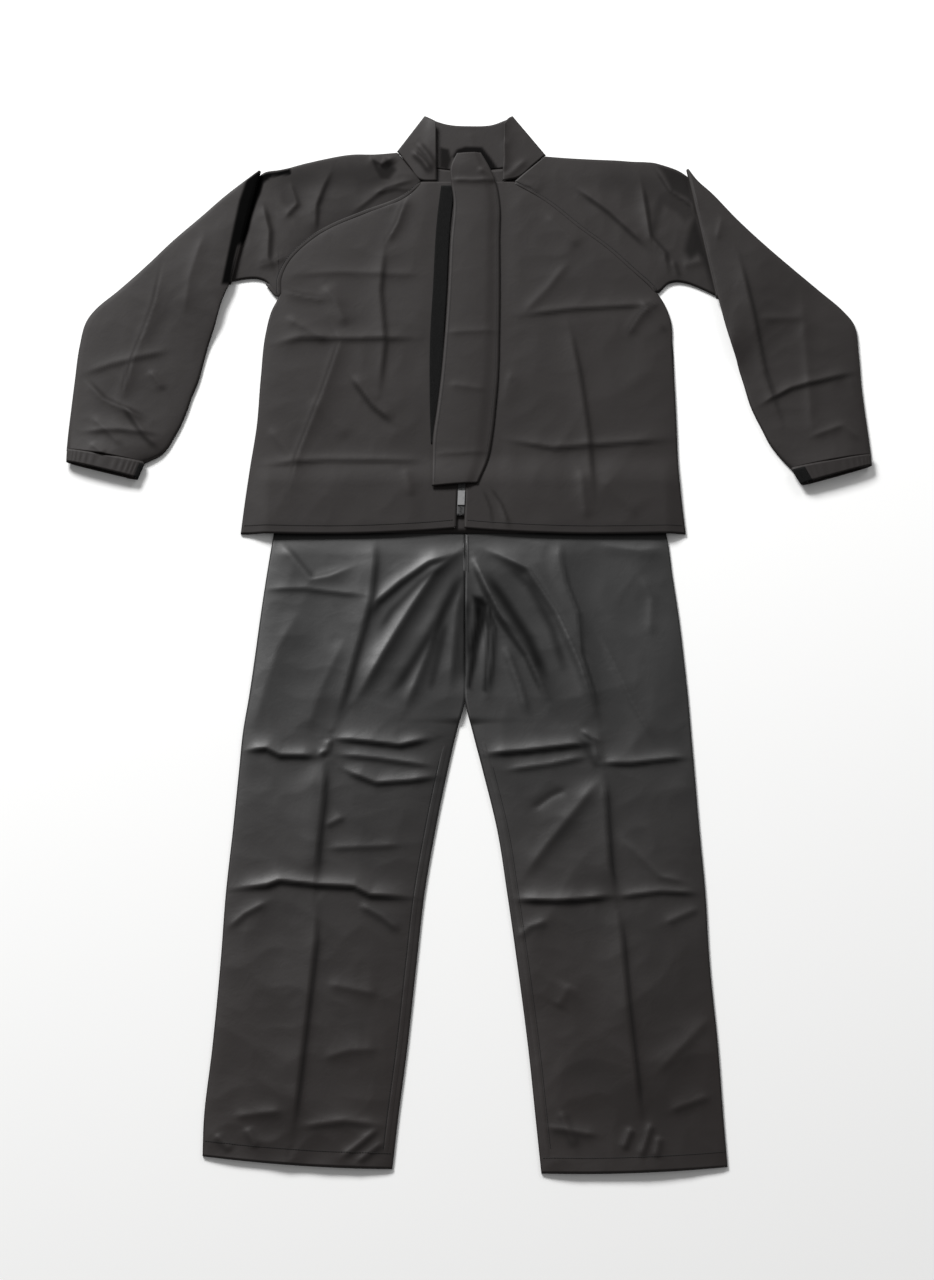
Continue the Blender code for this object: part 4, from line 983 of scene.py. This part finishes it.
def front_places(edge, side, columns, seed):
    rows, _ = smooth_rows(edge)
    seam_x, seam_y = rows[:, 0][:, None], rows[:, 1][:, None]
    share = np.linspace(0, 1, columns + 1)[None, :]
    hem_y = rows[0, 1]
    centre_y = seam_y + FRONT_HEM_RISE * np.exp(-(seam_y - hem_y) / HEM_BOW_REACH)
    centre_x = zip_line(centre_y) + side * ZIP_HALF_GAP
    x = seam_x + (centre_x - seam_x) * share
    y = seam_y + (centre_y - seam_y) * share ** 3
    y = y - hem_bow(y, hem_y, share)
    from_seam = np.abs(x - seam_x)
    rise = 1 - np.exp(-from_seam / PUFF_REACH)
    near_zip = smooth_step((np.abs(x - zip_line(y)) - FLAT_BESIDE_ZIP) / FLAT_BLEND)
    small = (0.9 * dents(x, y, 0.12, seed) + 0.45 * dents(x, y, 0.055, seed + 5)) * MM
    near_hem = smooth_step((y + HEM_BOW) / JACKET_HEM_FLAT)
    shaped = (crease_height(x, y, JACKET_CREASES) + small) * near_zip * (0.35 + 0.65 * near_hem)
    beside_sleeve = TUBE_LOW + TUBE_HALF - FLOOR_LAYER - LAYER
    at_raglan = smooth_step((y - ARMHOLE_FOOT) / ARMHOLE_BLEND) * beside_sleeve * (1 - rise)
    lift = rise * JACKET_PUFF + at_raglan + shaped * (1 - np.exp(-from_seam / CREASE_REACH))
    z = FLOOR_LAYER + cover_lift(x, y) + LAYER + soft_floor(lift, -0.2 * MM)
    # the second value is the painted shade in the slits beside sharp creases
    return np.stack((x, y, z), axis=2) + JACKET_HEM_AT, CLOTH_SLIT_SHADE * crease_shade(x, y, JACKET_CREASES)


back = back_places()
finish_cloth(cloth_piece("jacket_back_cloth", back, JACKET_LOOK), CLOTH,
             ["jacket_back"])
for side, edge, word, seed in ((-1, FRONT_RIGHT_EDGE, "right", 21.0), (1, FRONT_LEFT_EDGE, "left", 27.0)):
    front, shade = front_places(edge, side, 92, seed)
    piece = cloth_piece("jacket_front_" + word + "_cloth", front, JACKET_LOOK, shade=shade)
    finish_cloth(piece, CLOTH, ["jacket_front_" + word])

# %% [markdown]
# ## Sleeves
#
# A raglan sleeve is one tube of cloth that runs up to the neck. Laid down, it turns at the shoulder, and the
# spare cloth goes into a pleat like a Z: out to a hidden fold, back to the fold that shows, and out again as
# the arm. We describe it as a row of frames from neck to cuff. Each frame knows where the outer fold, the
# front seam and the back seam are, and which way the front of the tube faces there.

# %% Frames of a sleeve
Frames = namedtuple("Frames", "top front back normal edge_half seam_half puff crease")


def lifted(plane, height):
    return np.column_stack((plane, np.broadcast_to(height, len(plane))))


def frames_from(top, front, back, normal, edge_half, seam_half, puff, crease):
    count = len(top)
    return Frames(top, front, back, np.broadcast_to(normal, (count, 3)), np.broadcast_to(edge_half, count),
                  np.broadcast_to(seam_half, count), np.broadcast_to(puff, count),
                  np.broadcast_to(crease, count))


def raglan_frames(table, hidden):
    where_it_turns = (hidden.top_x, hidden.top_y) + (hidden.seam_x, hidden.seam_y) * 2
    rows, index = smooth_rows([tuple(row) for row in table] + [where_it_turns])
    rows, index = rows[:-1], index[:-1]
    closed_by = len(table) - 1
    closing = smooth_step((index - closed_by + 3) / 3)
    seam_half = TUBE_HALF + (TUBE_SEAM_HALF - TUBE_HALF) * closing
    return frames_from(lifted(rows[:, 0:2], TUBE_LOW), lifted(rows[:, 2:4], TUBE_LOW),
                       lifted(rows[:, 4:6], TUBE_LOW), (0, 0, 1), TUBE_HALF, seam_half, RAGLAN_PUFF, 1.0)


def turned_frames(row, outwards, underside_up, steps=9):
    radius = PLEAT_STEP / 2
    angle = np.linspace(0, math.pi, steps)
    shift = outwards[None, :] * (radius * np.sin(angle))[:, None]
    shift[:, 2] += row.height + radius - radius * np.cos(angle)
    normal = -outwards[None, :] * np.sin(angle)[:, None]
    normal[:, 2] += np.cos(angle)
    if underside_up:
        normal = -normal
    top = np.array((row.top_x, row.top_y, 0)) + shift
    seam = np.array((row.seam_x, row.seam_y, 0)) + shift
    return frames_from(top, seam, seam, normal, TUBE_HALF, TUBE_SEAM_HALF, 0.0, 0.0)


def across_fold(row, side):
    line = np.array((row.seam_x - row.top_x, row.seam_y - row.top_y))
    square = np.array((line[1], -line[0], 0)) / np.linalg.norm(line)
    return square if square[0] * side > 0 else -square


def arm_frames(table, shown):
    rows, _ = smooth_rows([tuple(shown._replace(height=PLEAT_TOP))] + [tuple(row) for row in table])
    rows = rows[1:]
    top, seam = lifted(rows[:, 0:2], rows[:, 4]), lifted(rows[:, 2:4], rows[:, 4])
    return frames_from(top, seam, seam, (0, 0, 1), TUBE_HALF, TUBE_SEAM_HALF, rows[:, 5], 1.0)


print("a fold turns in", len(turned_frames(HIDDEN_FOLD_RIGHT, across_fold(HIDDEN_FOLD_RIGHT, -1), False).top),
      "frames")

# %% Sleeves from their frames
def sleeve_places(raglan, hidden, shown, arm, side, seed, front_columns=46, turn_columns=6, back_columns=16):
    parts = [raglan_frames(raglan, hidden), turned_frames(hidden, across_fold(hidden, side), False),
             turned_frames(shown, -across_fold(shown, side), True), arm_frames(arm, shown)]
    frames = Frames(*(np.concatenate(field) for field in zip(*parts)))
    up = frames.normal[:, None, :]

    def across(seam, share):
        """Places from the folded edge to just before a seam, and half the tube's height at each."""
        span = seam - frames.top
        held = 1 - SEAM_GAP / np.linalg.norm(span, axis=1)[:, None]
        half = frames.edge_half[:, None] + (frames.seam_half - frames.edge_half)[:, None] * share
        return frames.top[:, None] + span[:, None] * (share * (1 + (held - 1) * share))[..., None], half

    underside_and_painted_shade, half = across(frames.back, np.linspace(1, 0, back_columns + 1)[None, :-1])
    underside_and_painted_shade = underside_and_painted_shade - up * half[..., None]
    angle = np.linspace(-math.pi / 2, math.pi / 2, turn_columns + 1)[None, :, None]
    span = frames.front - frames.top
    outwards = -span / np.linalg.norm(span, axis=1)[:, None]
    edge = frames.edge_half[:, None, None]
    fold = frames.top[:, None] + outwards[:, None] * edge * np.cos(angle) + up * edge * np.sin(angle)
    share = np.linspace(0, 1, front_columns + 1)[None, 1:]
    topside, half = across(frames.front, share)
    x, y = topside[..., 0], topside[..., 1]
    arch = np.sin(math.pi * share) ** 0.5
    small = (0.9 * dents(x, y, 0.09, seed) + 0.4 * dents(x, y, 0.035, seed + 3)) * MM
    shaped = crease_height(x, y, SLEEVE_CREASES) + small
    lift = frames.puff[:, None] * arch + soft_floor(shaped * arch, 0.0) * frames.crease[:, None]
    topside = topside + up * (half + lift)[..., None]
    behind_fold = np.arange(len(x))[:, None] < len(parts[0].top)
    # painted shade along the hollows and in the shoulder outlines, behind the fold only, and in the slits
    # beside sharp folds and in the pleat
    shade = hollow_shade(x, y, SLEEVE_HOLLOW_SHADES)
    for outline, depth in SHOULDER_SHADES:
        shade = np.maximum(shade, depth * within(x, y, outline, SHOULDER_EDGE))
    slit_shades = np.maximum(CLOTH_SLIT_SHADE * crease_shade(x, y, SLEEVE_CREASES), within(x, y, PLEAT_SLIT_SHADE))
    shade = np.maximum(shade * behind_fold, slit_shades)
    hidden_side = np.zeros((len(x), back_columns + turn_columns + 1))
    return (np.concatenate((underside_and_painted_shade, fold, topside), axis=1) + JACKET_HEM_AT,
            np.concatenate((hidden_side, shade), axis=1))


SLEEVES = {}
for side, raglan, hidden, shown, arm, word, seed in (
        (-1, RAGLAN_RIGHT, HIDDEN_FOLD_RIGHT, SHOWN_FOLD_RIGHT, ARM_RIGHT, "right", 31.0),
        (1, RAGLAN_LEFT, HIDDEN_FOLD_LEFT, SHOWN_FOLD_LEFT, ARM_LEFT, "left", 37.0)):
    places, shade = sleeve_places(raglan, hidden, shown, arm, side, seed)
    SLEEVES[word] = cloth_piece("sleeve_" + word + "_cloth", places, JACKET_LOOK, shade=shade)
    finish_cloth(SLEEVES[word], CLOTH, ["sleeve_" + word])

# %% [markdown]
# ## Cuffs
#
# The cuffs are elastic casings: a band of cloth gathered onto elastic, so it puckers evenly all round. Its
# mouth gapes a little and looks black inside.

# %% Cuff bands and their tabs
def cuff_places(last_row, mouth, sides=132, rows=9):
    start_outer = np.array((last_row.top_x, last_row.top_y, 0))
    start_inner = np.array((last_row.seam_x, last_row.seam_y, 0))
    mouth_outer = np.array((mouth.outer_x, mouth.outer_y, 0))
    mouth_inner = np.array((mouth.inner_x, mouth.inner_y, 0))
    reach = mouth_outer + mouth_inner - start_outer - start_inner
    reach = reach / np.linalg.norm(reach)
    along = np.linspace(0, 1, rows)[:, None, None]
    outer = start_outer + (mouth_outer - start_outer) * along + reach * SEAM_GAP * (1 - along)
    inner = start_inner + (mouth_inner - start_inner) * along + reach * SEAM_GAP * (1 - along)
    turn = np.linspace(0, math.tau, sides + 1)[None, :, None]
    gather = 1 + 0.07 * np.sin(turn * 33) * np.sin(math.pi * along)
    across = squared_off(np.cos(turn), CUFF_ROUNDING)
    up = squared_off(np.sin(turn), CUFF_ROUNDING) * gather
    places = (outer + inner) / 2 + (outer - inner) / 2 * across
    places = places + np.array((0, 0, 1)) * (FLOOR_LAYER + MOUTH_HALF * (1 + up))
    return np.maximum(places, np.array((-9, -9, FLOOR_LAYER))) + JACKET_HEM_AT


def tab_places(cuff, first, last, start, end):
    """Part of the cuff's own places, moved out from it."""
    part = cuff[start:end + 1, first:last + 1] if first < last else cuff[start:end + 1, last:first + 1]
    middle = cuff.mean(axis=(0, 1))
    away = part - middle
    away[..., :2] *= 0.3
    away = away / np.linalg.norm(away, axis=2)[..., None]
    return part + away * (CLOTH / 2 + PILE_TAPE / 2 + 0.4 * MM)


for word, last_row, mouth, span in (("right", ARM_RIGHT[-1], CUFF_RIGHT, (54, 86)),
                                    ("left", ARM_LEFT[-1], CUFF_LEFT, (46, 66))):
    places = cuff_places(last_row, mouth)
    piece = cloth_piece("cuff_" + word + "_cloth", places, JACKET_LOOK, closed=True)
    tab = tab_places(places, span[0], span[1], 1, 8)
    tab_piece = cloth_piece("cuff_tab_" + word + "_pile", tab, PILE_LOOK)
    finish_cloth(piece, CLOTH, ["cuff_" + word])
    finish_cloth(tab_piece, PILE_TAPE, ["cuff_tab_" + word])

# %% [markdown]
# ## Collar
#
# The stand collar is one strip. Its back lies on the floor with its inner face up, and at each neck corner
# it turns over into a wing that lies on top, folded forward.

# %% Collar strip
def collar_places(columns=30):
    rows = np.array(COLLAR, float)
    parts = []
    for first, last in ((0, RIGHT_TURN), (RIGHT_TURN + 1, LEFT_TURN - 1), (LEFT_TURN, len(COLLAR) - 1)):
        parts.append(smooth_rows(rows[first:last + 1], 3 * MM)[0])
    for index, place, away in ((RIGHT_TURN, 1, -1), (LEFT_TURN, 3, 1)):
        row = rows[index]
        radius = (row[4] - FLOOR_LAYER) / 2
        angle = np.linspace(0, math.pi, 9)[1:-1]
        arc = np.repeat(row[None], len(angle), axis=0)
        arc[:, (0, 2)] += (away * radius * np.sin(angle))[:, None]
        arc[:, (4, 5)] += (radius * (np.cos(angle) - 1))[:, None]
        parts.insert(place, arc if index == RIGHT_TURN else arc[::-1])
    rows = np.vstack(parts)
    share = np.linspace(0, 1, columns + 1)[None, :, None]
    foot, rim = rows[:, None, (0, 1, 4)], rows[:, None, (2, 3, 5)]
    places = foot + (rim - foot) * share
    x, y = places[..., 0], places[..., 1]
    wing = smooth_step((places[..., 2] - 2.4 * MM) / MM)
    small = 0.5 * MM * dents(x, y, 0.035, 41.0) * np.sin(math.pi * share[..., 0])
    places[..., 2] += soft_floor((crease_height(x, y, COLLAR_CREASES) + small) * (0.3 + 0.7 * wing), 0.0)
    # painted shade in the gap at the neck and round the flap's top, and beside the sharp creases
    shade = np.maximum(0.7 * within(x, y, NECK_SHADE), 0.85 * within(x, y, TAB_SHADE)) * (1 - wing)
    return places + JACKET_HEM_AT, np.maximum(shade, 0.6 * crease_shade(x, y, COLLAR_CREASES))


COLLAR_CREASES = lines(
    Crease,
    (3.0, 5, 5, -88, 674, -70, 655, -56, 632),
    (2.4, 5, 5, -80, 690, -62, 664, -50, 640),
    (2.6, 6, 6, 58, 700, 60, 660, 58, 630),
    (2.0, 8, 6, 96, 660, 74, 636, 58, 622),
    (2.0, 10, 10, 4, 716, 10, 680, 6, 650),
)
places, shade = collar_places()
collar = cloth_piece("collar_cloth", places, JACKET_LOOK, shade=shade)
finish_cloth(collar, CLOTH, ["collar"])

# %% [markdown]
# ## Storm flap, hook-and-loop strip and zip
#
# The flap covers the zip and is closed with a strip of pile that shows beside it. Only the zip's lower end
# can be seen, with the stiff grey film that protects the ends of its tapes.

# %% Flap and strip
def flap_places(columns=22):
    rows, _ = smooth_rows(FLAP, 3 * MM)
    share = np.linspace(0, 1, columns + 1)[None, :]
    x, y = between(rows, share)
    off_strip = smooth_step((share - 0.72) / 0.2)
    stand = CLOTH / 2 + SEAM_GAP + DOUBLE_CLOTH / 2 + (PILE_TAPE + 2 * SEAM_GAP) * (1 - off_strip)
    arch = FLAP_ARCH * np.sin(math.pi * share)
    over_neck = FLAP_NECK_LIFT * smooth_step((y - FLAP_NECK) / FLAP_NECK_BLEND)
    small = 0.35 * MM * dents(x, y, 0.05, 51.0)
    creased = soft_floor(crease_height(x, y, FLAP_CREASES) + small, 0)
    z = placket_height(x, y) + stand + arch + over_neck + creased
    return np.stack((x, y, z), axis=2) + JACKET_HEM_AT


FLAP_CREASES = lines(
    Crease,
    (2.0, 4, 4, -26, 618, 10, 616, 40, 618),
    (2.6, 6, 5, 18, 640, 30, 630, 44, 612),
    (1.2, 9, 6, -54, 128, 34, 134),
    (1.2, 9, 6, -34, 340, 50, 345),
    (1.4, 8, 8, -30, 250, 30, 240),
)
places = flap_places()
flap = cloth_piece("storm_flap_cloth", places, JACKET_LOOK)
finish_cloth(flap, DOUBLE_CLOTH, ["storm_flap"])

rows, _ = smooth_rows(HOOK_TAPE, 3 * MM)
x = rows[:, 0:1] + TAPE_WIDTH * np.linspace(0, 1, 9)[None, :]
y = rows[:, 1:2] + 0 * x
tape = np.stack((x, y, placket_height(x, y) + CLOTH / 2 + SEAM_GAP + PILE_TAPE / 2
                 + 0.15 * MM * dents(x, y, 0.004, 61.0)), axis=2) + JACKET_HEM_AT
finish_cloth(cloth_piece("hook_tape_pile", tape, PILE_LOOK), PILE_TAPE, ["hook_tape"])

# %% Zip tapes and the film over their ends
rows = 150
y = np.linspace(ZIP_FOOT, ZIP_HEAD, rows + 1)[:, None]
share = np.linspace(-1, 1, 7)[None, :]
x = zip_line(y) + share * (ZIP_HALF_GAP - SEAM_GAP)
tapes = np.stack((x, y + 0 * x, placket_height(x, y + 0 * x)), axis=2) + JACKET_HEM_AT
finish_cloth(cloth_piece("zip_tapes", tapes, ZIP_LOOK), CLOTH, ["zip"])
for name, look in (("zip_end", FILM_LOOK), ("zip_slider", METAL_LOOK)):
    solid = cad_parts[name]
    solid.data.materials.clear()
    solid.data.materials.append(look)

TOOTH_PITCH = 0.0022        # along the zip
TOOTH_SIZE = (0.0019, 0.0011, 0.0007)
TOOTH_ASIDE = 0.0011        # from the zip's line
TOOTH_STAGGER = 0.0005      # how far the two rows of teeth are set against each other
teeth = bmesh.new()
for step in range(int((ZIP_HEAD - ZIP_FOOT) / TOOTH_PITCH)):
    tooth_y = ZIP_FOOT + MM + step * TOOTH_PITCH
    for side in (-1, 1):
        tooth_x = zip_line(tooth_y) + side * TOOTH_ASIDE
        height = float(placket_height(np.array(tooth_x), np.array(tooth_y))) + CLOTH / 2 + 0.15 * MM
        at = Vector((tooth_x, tooth_y + side * TOOTH_STAGGER, height)) + Vector(JACKET_HEM_AT)
        bmesh.ops.create_cube(teeth, size=1.0,
                              matrix=Matrix.Translation(at) @ Matrix.Diagonal((*TOOTH_SIZE, 1.0)))
zip_teeth = sewn_on(object_from("zip_teeth", teeth, ZIP_LOOK))
print("zip teeth:", len(zip_teeth.data.polygons) // 6)

# %% [markdown]
# ## Seams and stitching
#
# Each seam is a narrow lap, a strip of the cloth's own doubled edge, with a row of stitches beside it. Both
# are laid on the finished surface: a ray is dropped onto the cloth for every point, so they follow the
# creases. A stitch is a tiny bar with few faces, because there are over a thousand of them.

# %% Paths on the cloth
def surface_of(*pieces):
    shape = bmesh.new()
    for piece in pieces:
        shape.from_mesh(piece.data)
    tree = BVHTree.FromBMesh(shape)
    shape.free()
    return tree


def evenly(path, pitch):
    """Points on a path, pitch apart, and the direction of the path there."""
    points = np.array(path, float)
    runs = np.linalg.norm(np.diff(points, axis=0), axis=1)
    along = np.concatenate(([0.0], np.cumsum(runs)))
    at = np.linspace(0, along[-1], max(2, int(along[-1] / pitch)))
    placed = np.stack([np.interp(at, along, points[:, k]) for k in range(2)], axis=1)
    ahead = np.gradient(placed, axis=0)
    return placed, ahead / np.linalg.norm(ahead, axis=1)[:, None]


def on_cloth(tree, x, y):
    hit, normal, _, _ = tree.ray_cast(Vector((x, y, 0.3)), Vector((0, 0, -1)))
    return (hit, normal if normal.z > 0 else -normal) if hit else (None, None)


LAP_STEP = 4 * MM
LAP_SINK = 0.8 * MM         # how far each end of a lap goes down under the cloth
ACROSS_LAP = (-0.5, -0.3, 0.0, 0.3, 0.5)


def lap_places(tree, path, width, lift=0.3 * MM, bridge=False):
    """A strip along a path, on the cloth; bridge carries its middle straight across a groove."""
    placed, ahead = evenly(path, LAP_STEP)
    rows = []
    for point, way in zip(placed, ahead):
        row = []
        for share in ACROSS_LAP:
            x, y = point[0] - way[1] * width * share, point[1] + way[0] * width * share
            hit, _ = on_cloth(tree, x, y)
            if hit is None and not row:
                break
            row.append((x, y, hit.z + lift * (0.3 if abs(share) == 0.5 else 1.0) if hit else row[-1][2]))
        if row and len(row) == len(ACROSS_LAP):
            if bridge:
                level = (row[0][2] + row[4][2]) / 2 + lift
                row[1:4] = [(x, y, max(z, level)) for x, y, z in row[1:4]]
            rows.append(row)
    rows = np.array(rows)
    count = np.arange(len(rows))
    rows[:, :, 2] -= LAP_SINK * np.exp(-np.minimum(count, count[::-1]))[:, None]
    return rows


def add_stitches(shape, tree, path, pitch=3.6 * MM, length=2.5 * MM, thread=0.75 * MM, lift=0.6 * MM):
    placed, ahead = evenly(path, pitch)
    for point, way in zip(placed, ahead):
        hit, normal = on_cloth(tree, *point)
        if hit is None:
            continue
        along = Vector((way[0], way[1], 0))
        along = (along - normal * along.dot(normal)).normalized()
        turn = Matrix((along, normal.cross(along), normal)).transposed().to_4x4()
        place = Matrix.Translation(hit + normal * lift) @ turn @ Matrix.Rotation(math.pi / 2, 4, "Y")
        bmesh.ops.create_cone(shape, cap_ends=True, segments=5, radius1=thread / 2, radius2=thread / 2,
                              depth=length, matrix=place)


Garment = namedtuple("Garment", "tree look slot at")
LAP_WALL = 0.3 * MM


def stitching(garment, name, paths):
    shape = bmesh.new()
    for path in paths:
        add_stitches(shape, garment.tree, np.array(path) + garment.at[:2])
    made = object_from(name, shape, THREAD_LOOK)
    print(name, len(made.data.polygons) // 7, "stitches")
    return sewn_on(made)


def lap(garment, name, path, width, bridge=False):
    places = lap_places(garment.tree, np.array(path) + garment.at[:2], width, bridge=bridge)
    return sewn_on(give_wall(cloth_piece(name, places, garment.look), LAP_WALL))


print("seam helpers are ready")

# %% Seams of the trousers
def beside_edge(table, inset, first, last, inner=True):
    """A path that keeps inset inside the leg's inner or outer edge, between two heights."""
    rows, _ = smooth_rows(table)
    x, y = (rows[:, 2], rows[:, 3]) if inner else (rows[:, 0], rows[:, 1])
    towards = np.sign(rows[:, 0] - rows[:, 2]) if inner else np.sign(rows[:, 2] - rows[:, 0])
    keep = (y >= first) & (y <= last)
    return np.stack((x + towards * inset, y), axis=1)[keep][::4]


def above_hem(table, rise):
    rows = np.array(table[0])
    share = np.linspace(0.015, 0.985, 40)
    x = rows[0] + (rows[2] - rows[0]) * share
    y = rows[1] + (rows[3] - rows[1]) * share
    return np.stack((x, y - HEM_BOW * 4 * share * (1 - share) + rise), axis=1)


def find(name):
    return bpy.data.objects[name]


trousers = Garment(surface_of(find("trousers_front_right_cloth"), find("trousers_front_left_cloth")),
                   TROUSER_LOOK, "trouser_cloth", TROUSER_HEM_AT)
trouser_paths = [above_hem(LEG_RIGHT, 0.021), above_hem(LEG_LEFT, 0.021),
                 beside_edge(LEG_RIGHT, 0.016, 0.030, 0.600), beside_edge(LEG_LEFT, 0.016, 0.030, 0.600),
                 ((CENTRE_SEAM_X + 0.005, 0.905), (CENTRE_SEAM_X + 0.005, 0.962))]
TROUSER_LAPS = [
    lap(trousers, "trousers_inseam_right", beside_edge(LEG_RIGHT, 0.011, 0.012, 0.640), 0.008),
    lap(trousers, "trousers_inseam_left", beside_edge(LEG_LEFT, 0.011, 0.008, 0.640), 0.008),
    lap(trousers, "trousers_centre_seam", ((CENTRE_SEAM_X, 0.895), (CENTRE_SEAM_X, 0.962)), 0.007),
]
trousers_stitching = stitching(trousers, "trousers_stitching", trouser_paths)

# %% Seams of the jacket
def raglan_path(table, inset, side):
    rows, _ = smooth_rows(table)
    return np.stack((rows[:, 2] - side * inset, rows[:, 3]), axis=1)[::4]


def front_hem(edge, side, rise):
    seam_x, hem_y = edge[0][0], edge[0][1]
    share = np.linspace(0.02, 0.98, 40)
    centre = zip_line(hem_y) + side * ZIP_HALF_GAP
    x = seam_x + (centre - seam_x) * share
    y = hem_y + FRONT_HEM_RISE * share ** 3 - HEM_BOW * 4 * share * (1 - share) + rise
    return np.stack((x, y), axis=1)


def flap_line(share, first, last):
    rows, _ = smooth_rows(FLAP)
    x = rows[:, 0] + (rows[:, 2] - rows[:, 0]) * share
    y = rows[:, 1] + (rows[:, 3] - rows[:, 1]) * share
    keep = (y >= first) & (y <= last)
    return np.stack((x, y), axis=1)[keep][::3]


jacket = Garment(surface_of(find("jacket_front_right_cloth"), find("jacket_front_left_cloth"),
                            SLEEVES["right"], SLEEVES["left"], flap, collar),
                 JACKET_LOOK, "jacket_cloth", JACKET_HEM_AT)
jacket_paths = [front_hem(FRONT_RIGHT_EDGE, -1, 0.014), front_hem(FRONT_LEFT_EDGE, 1, 0.014),
                raglan_path(RAGLAN_RIGHT, 0.004, 1), raglan_path(RAGLAN_LEFT, 0.004, -1),
                flap_line(0.06, 0.08, 0.60), flap_line(0.94, 0.12, 0.60)]
JACKET_LAPS = [
    lap(jacket, "raglan_seam_right", raglan_path(RAGLAN_RIGHT, 0.0, 1), 0.007, True),
    lap(jacket, "raglan_seam_left", raglan_path(RAGLAN_LEFT, 0.0, -1), 0.007, True),
]
jacket_stitching = stitching(jacket, "jacket_stitching", jacket_paths)

# %% [markdown]

# %% [markdown]
# ## Floor, light and camera
#
# The suit lies on a pale floor under soft studio light. A large lamp beyond the collar does most of the
# work: seen from the foot end, it glances off the coating and draws each crease.

# %% Pale floor
FLOOR_BELOW = 0.0004        # keeps the floor clear of the cloth that lies on it
floor_look, _, floor_shader = new_look("Pale floor")
floor_shader.inputs["Base Color"].default_value = (0.96, 0.96, 0.955, 1)
floor_shader.inputs["Roughness"].default_value = 0.9
shape = bmesh.new()
bmesh.ops.create_grid(shape, x_segments=1, y_segments=1, size=8.0)
floor = object_from("floor", shape, floor_look)
floor.location.z = -FLOOR_BELOW
print("floor ready")

# %% Soft light
def soft_lamp(name, at, towards, size, power):
    lamp = bpy.data.lights.new(name, "AREA")
    lamp.shape = "RECTANGLE"
    lamp.size, lamp.size_y = size
    lamp.energy = power
    holder = bpy.data.objects.new(name, lamp)
    holder.location = at
    holder.rotation_euler = (Vector(towards) - Vector(at)).to_track_quat("-Z", "Y").to_euler()
    bpy.context.scene.collection.objects.link(holder)
    return holder


soft_lamp("Far lamp", (-3.2, 6.4, 3.6), (0.0, 0.0, 0.0), (3.6, 2.0), 1080)
soft_lamp("Far right lamp", (3.6, 5.0, 2.8), (0.0, 0.0, 0.0), (2.6, 1.6), 80)
world = bpy.data.worlds.new("Studio")
world.use_nodes = True
world.node_tree.nodes["Background"].inputs["Color"].default_value = (1.0, 1.0, 1.0, 1)
world.node_tree.nodes["Background"].inputs["Strength"].default_value = 0.25
bpy.context.scene.world = world
bpy.context.scene.view_settings.view_transform = "Standard"
print("lamps:", [lamp.name for lamp in bpy.data.lights])

# %% Camera above the hems
SEEN_POINT = Vector((-0.0035, -0.0585, 0.0))
CAMERA_DISTANCE = 4.4
CAMERA_HEIGHT_ANGLE = math.radians(66)
camera_data = bpy.data.cameras.new("Camera")
camera_data.lens = 83.78
camera_data.sensor_width = 36.0
camera_data.sensor_fit = "AUTO"
camera = bpy.data.objects.new("Camera", camera_data)
away = Vector((0, -math.cos(CAMERA_HEIGHT_ANGLE), math.sin(CAMERA_HEIGHT_ANGLE)))
camera.location = SEEN_POINT + away * CAMERA_DISTANCE
camera.rotation_euler = (-away).to_track_quat("-Z", "Y").to_euler()
bpy.context.scene.collection.objects.link(camera)
bpy.context.scene.camera = camera
print("camera", tuple(round(v, 3) for v in camera.location))
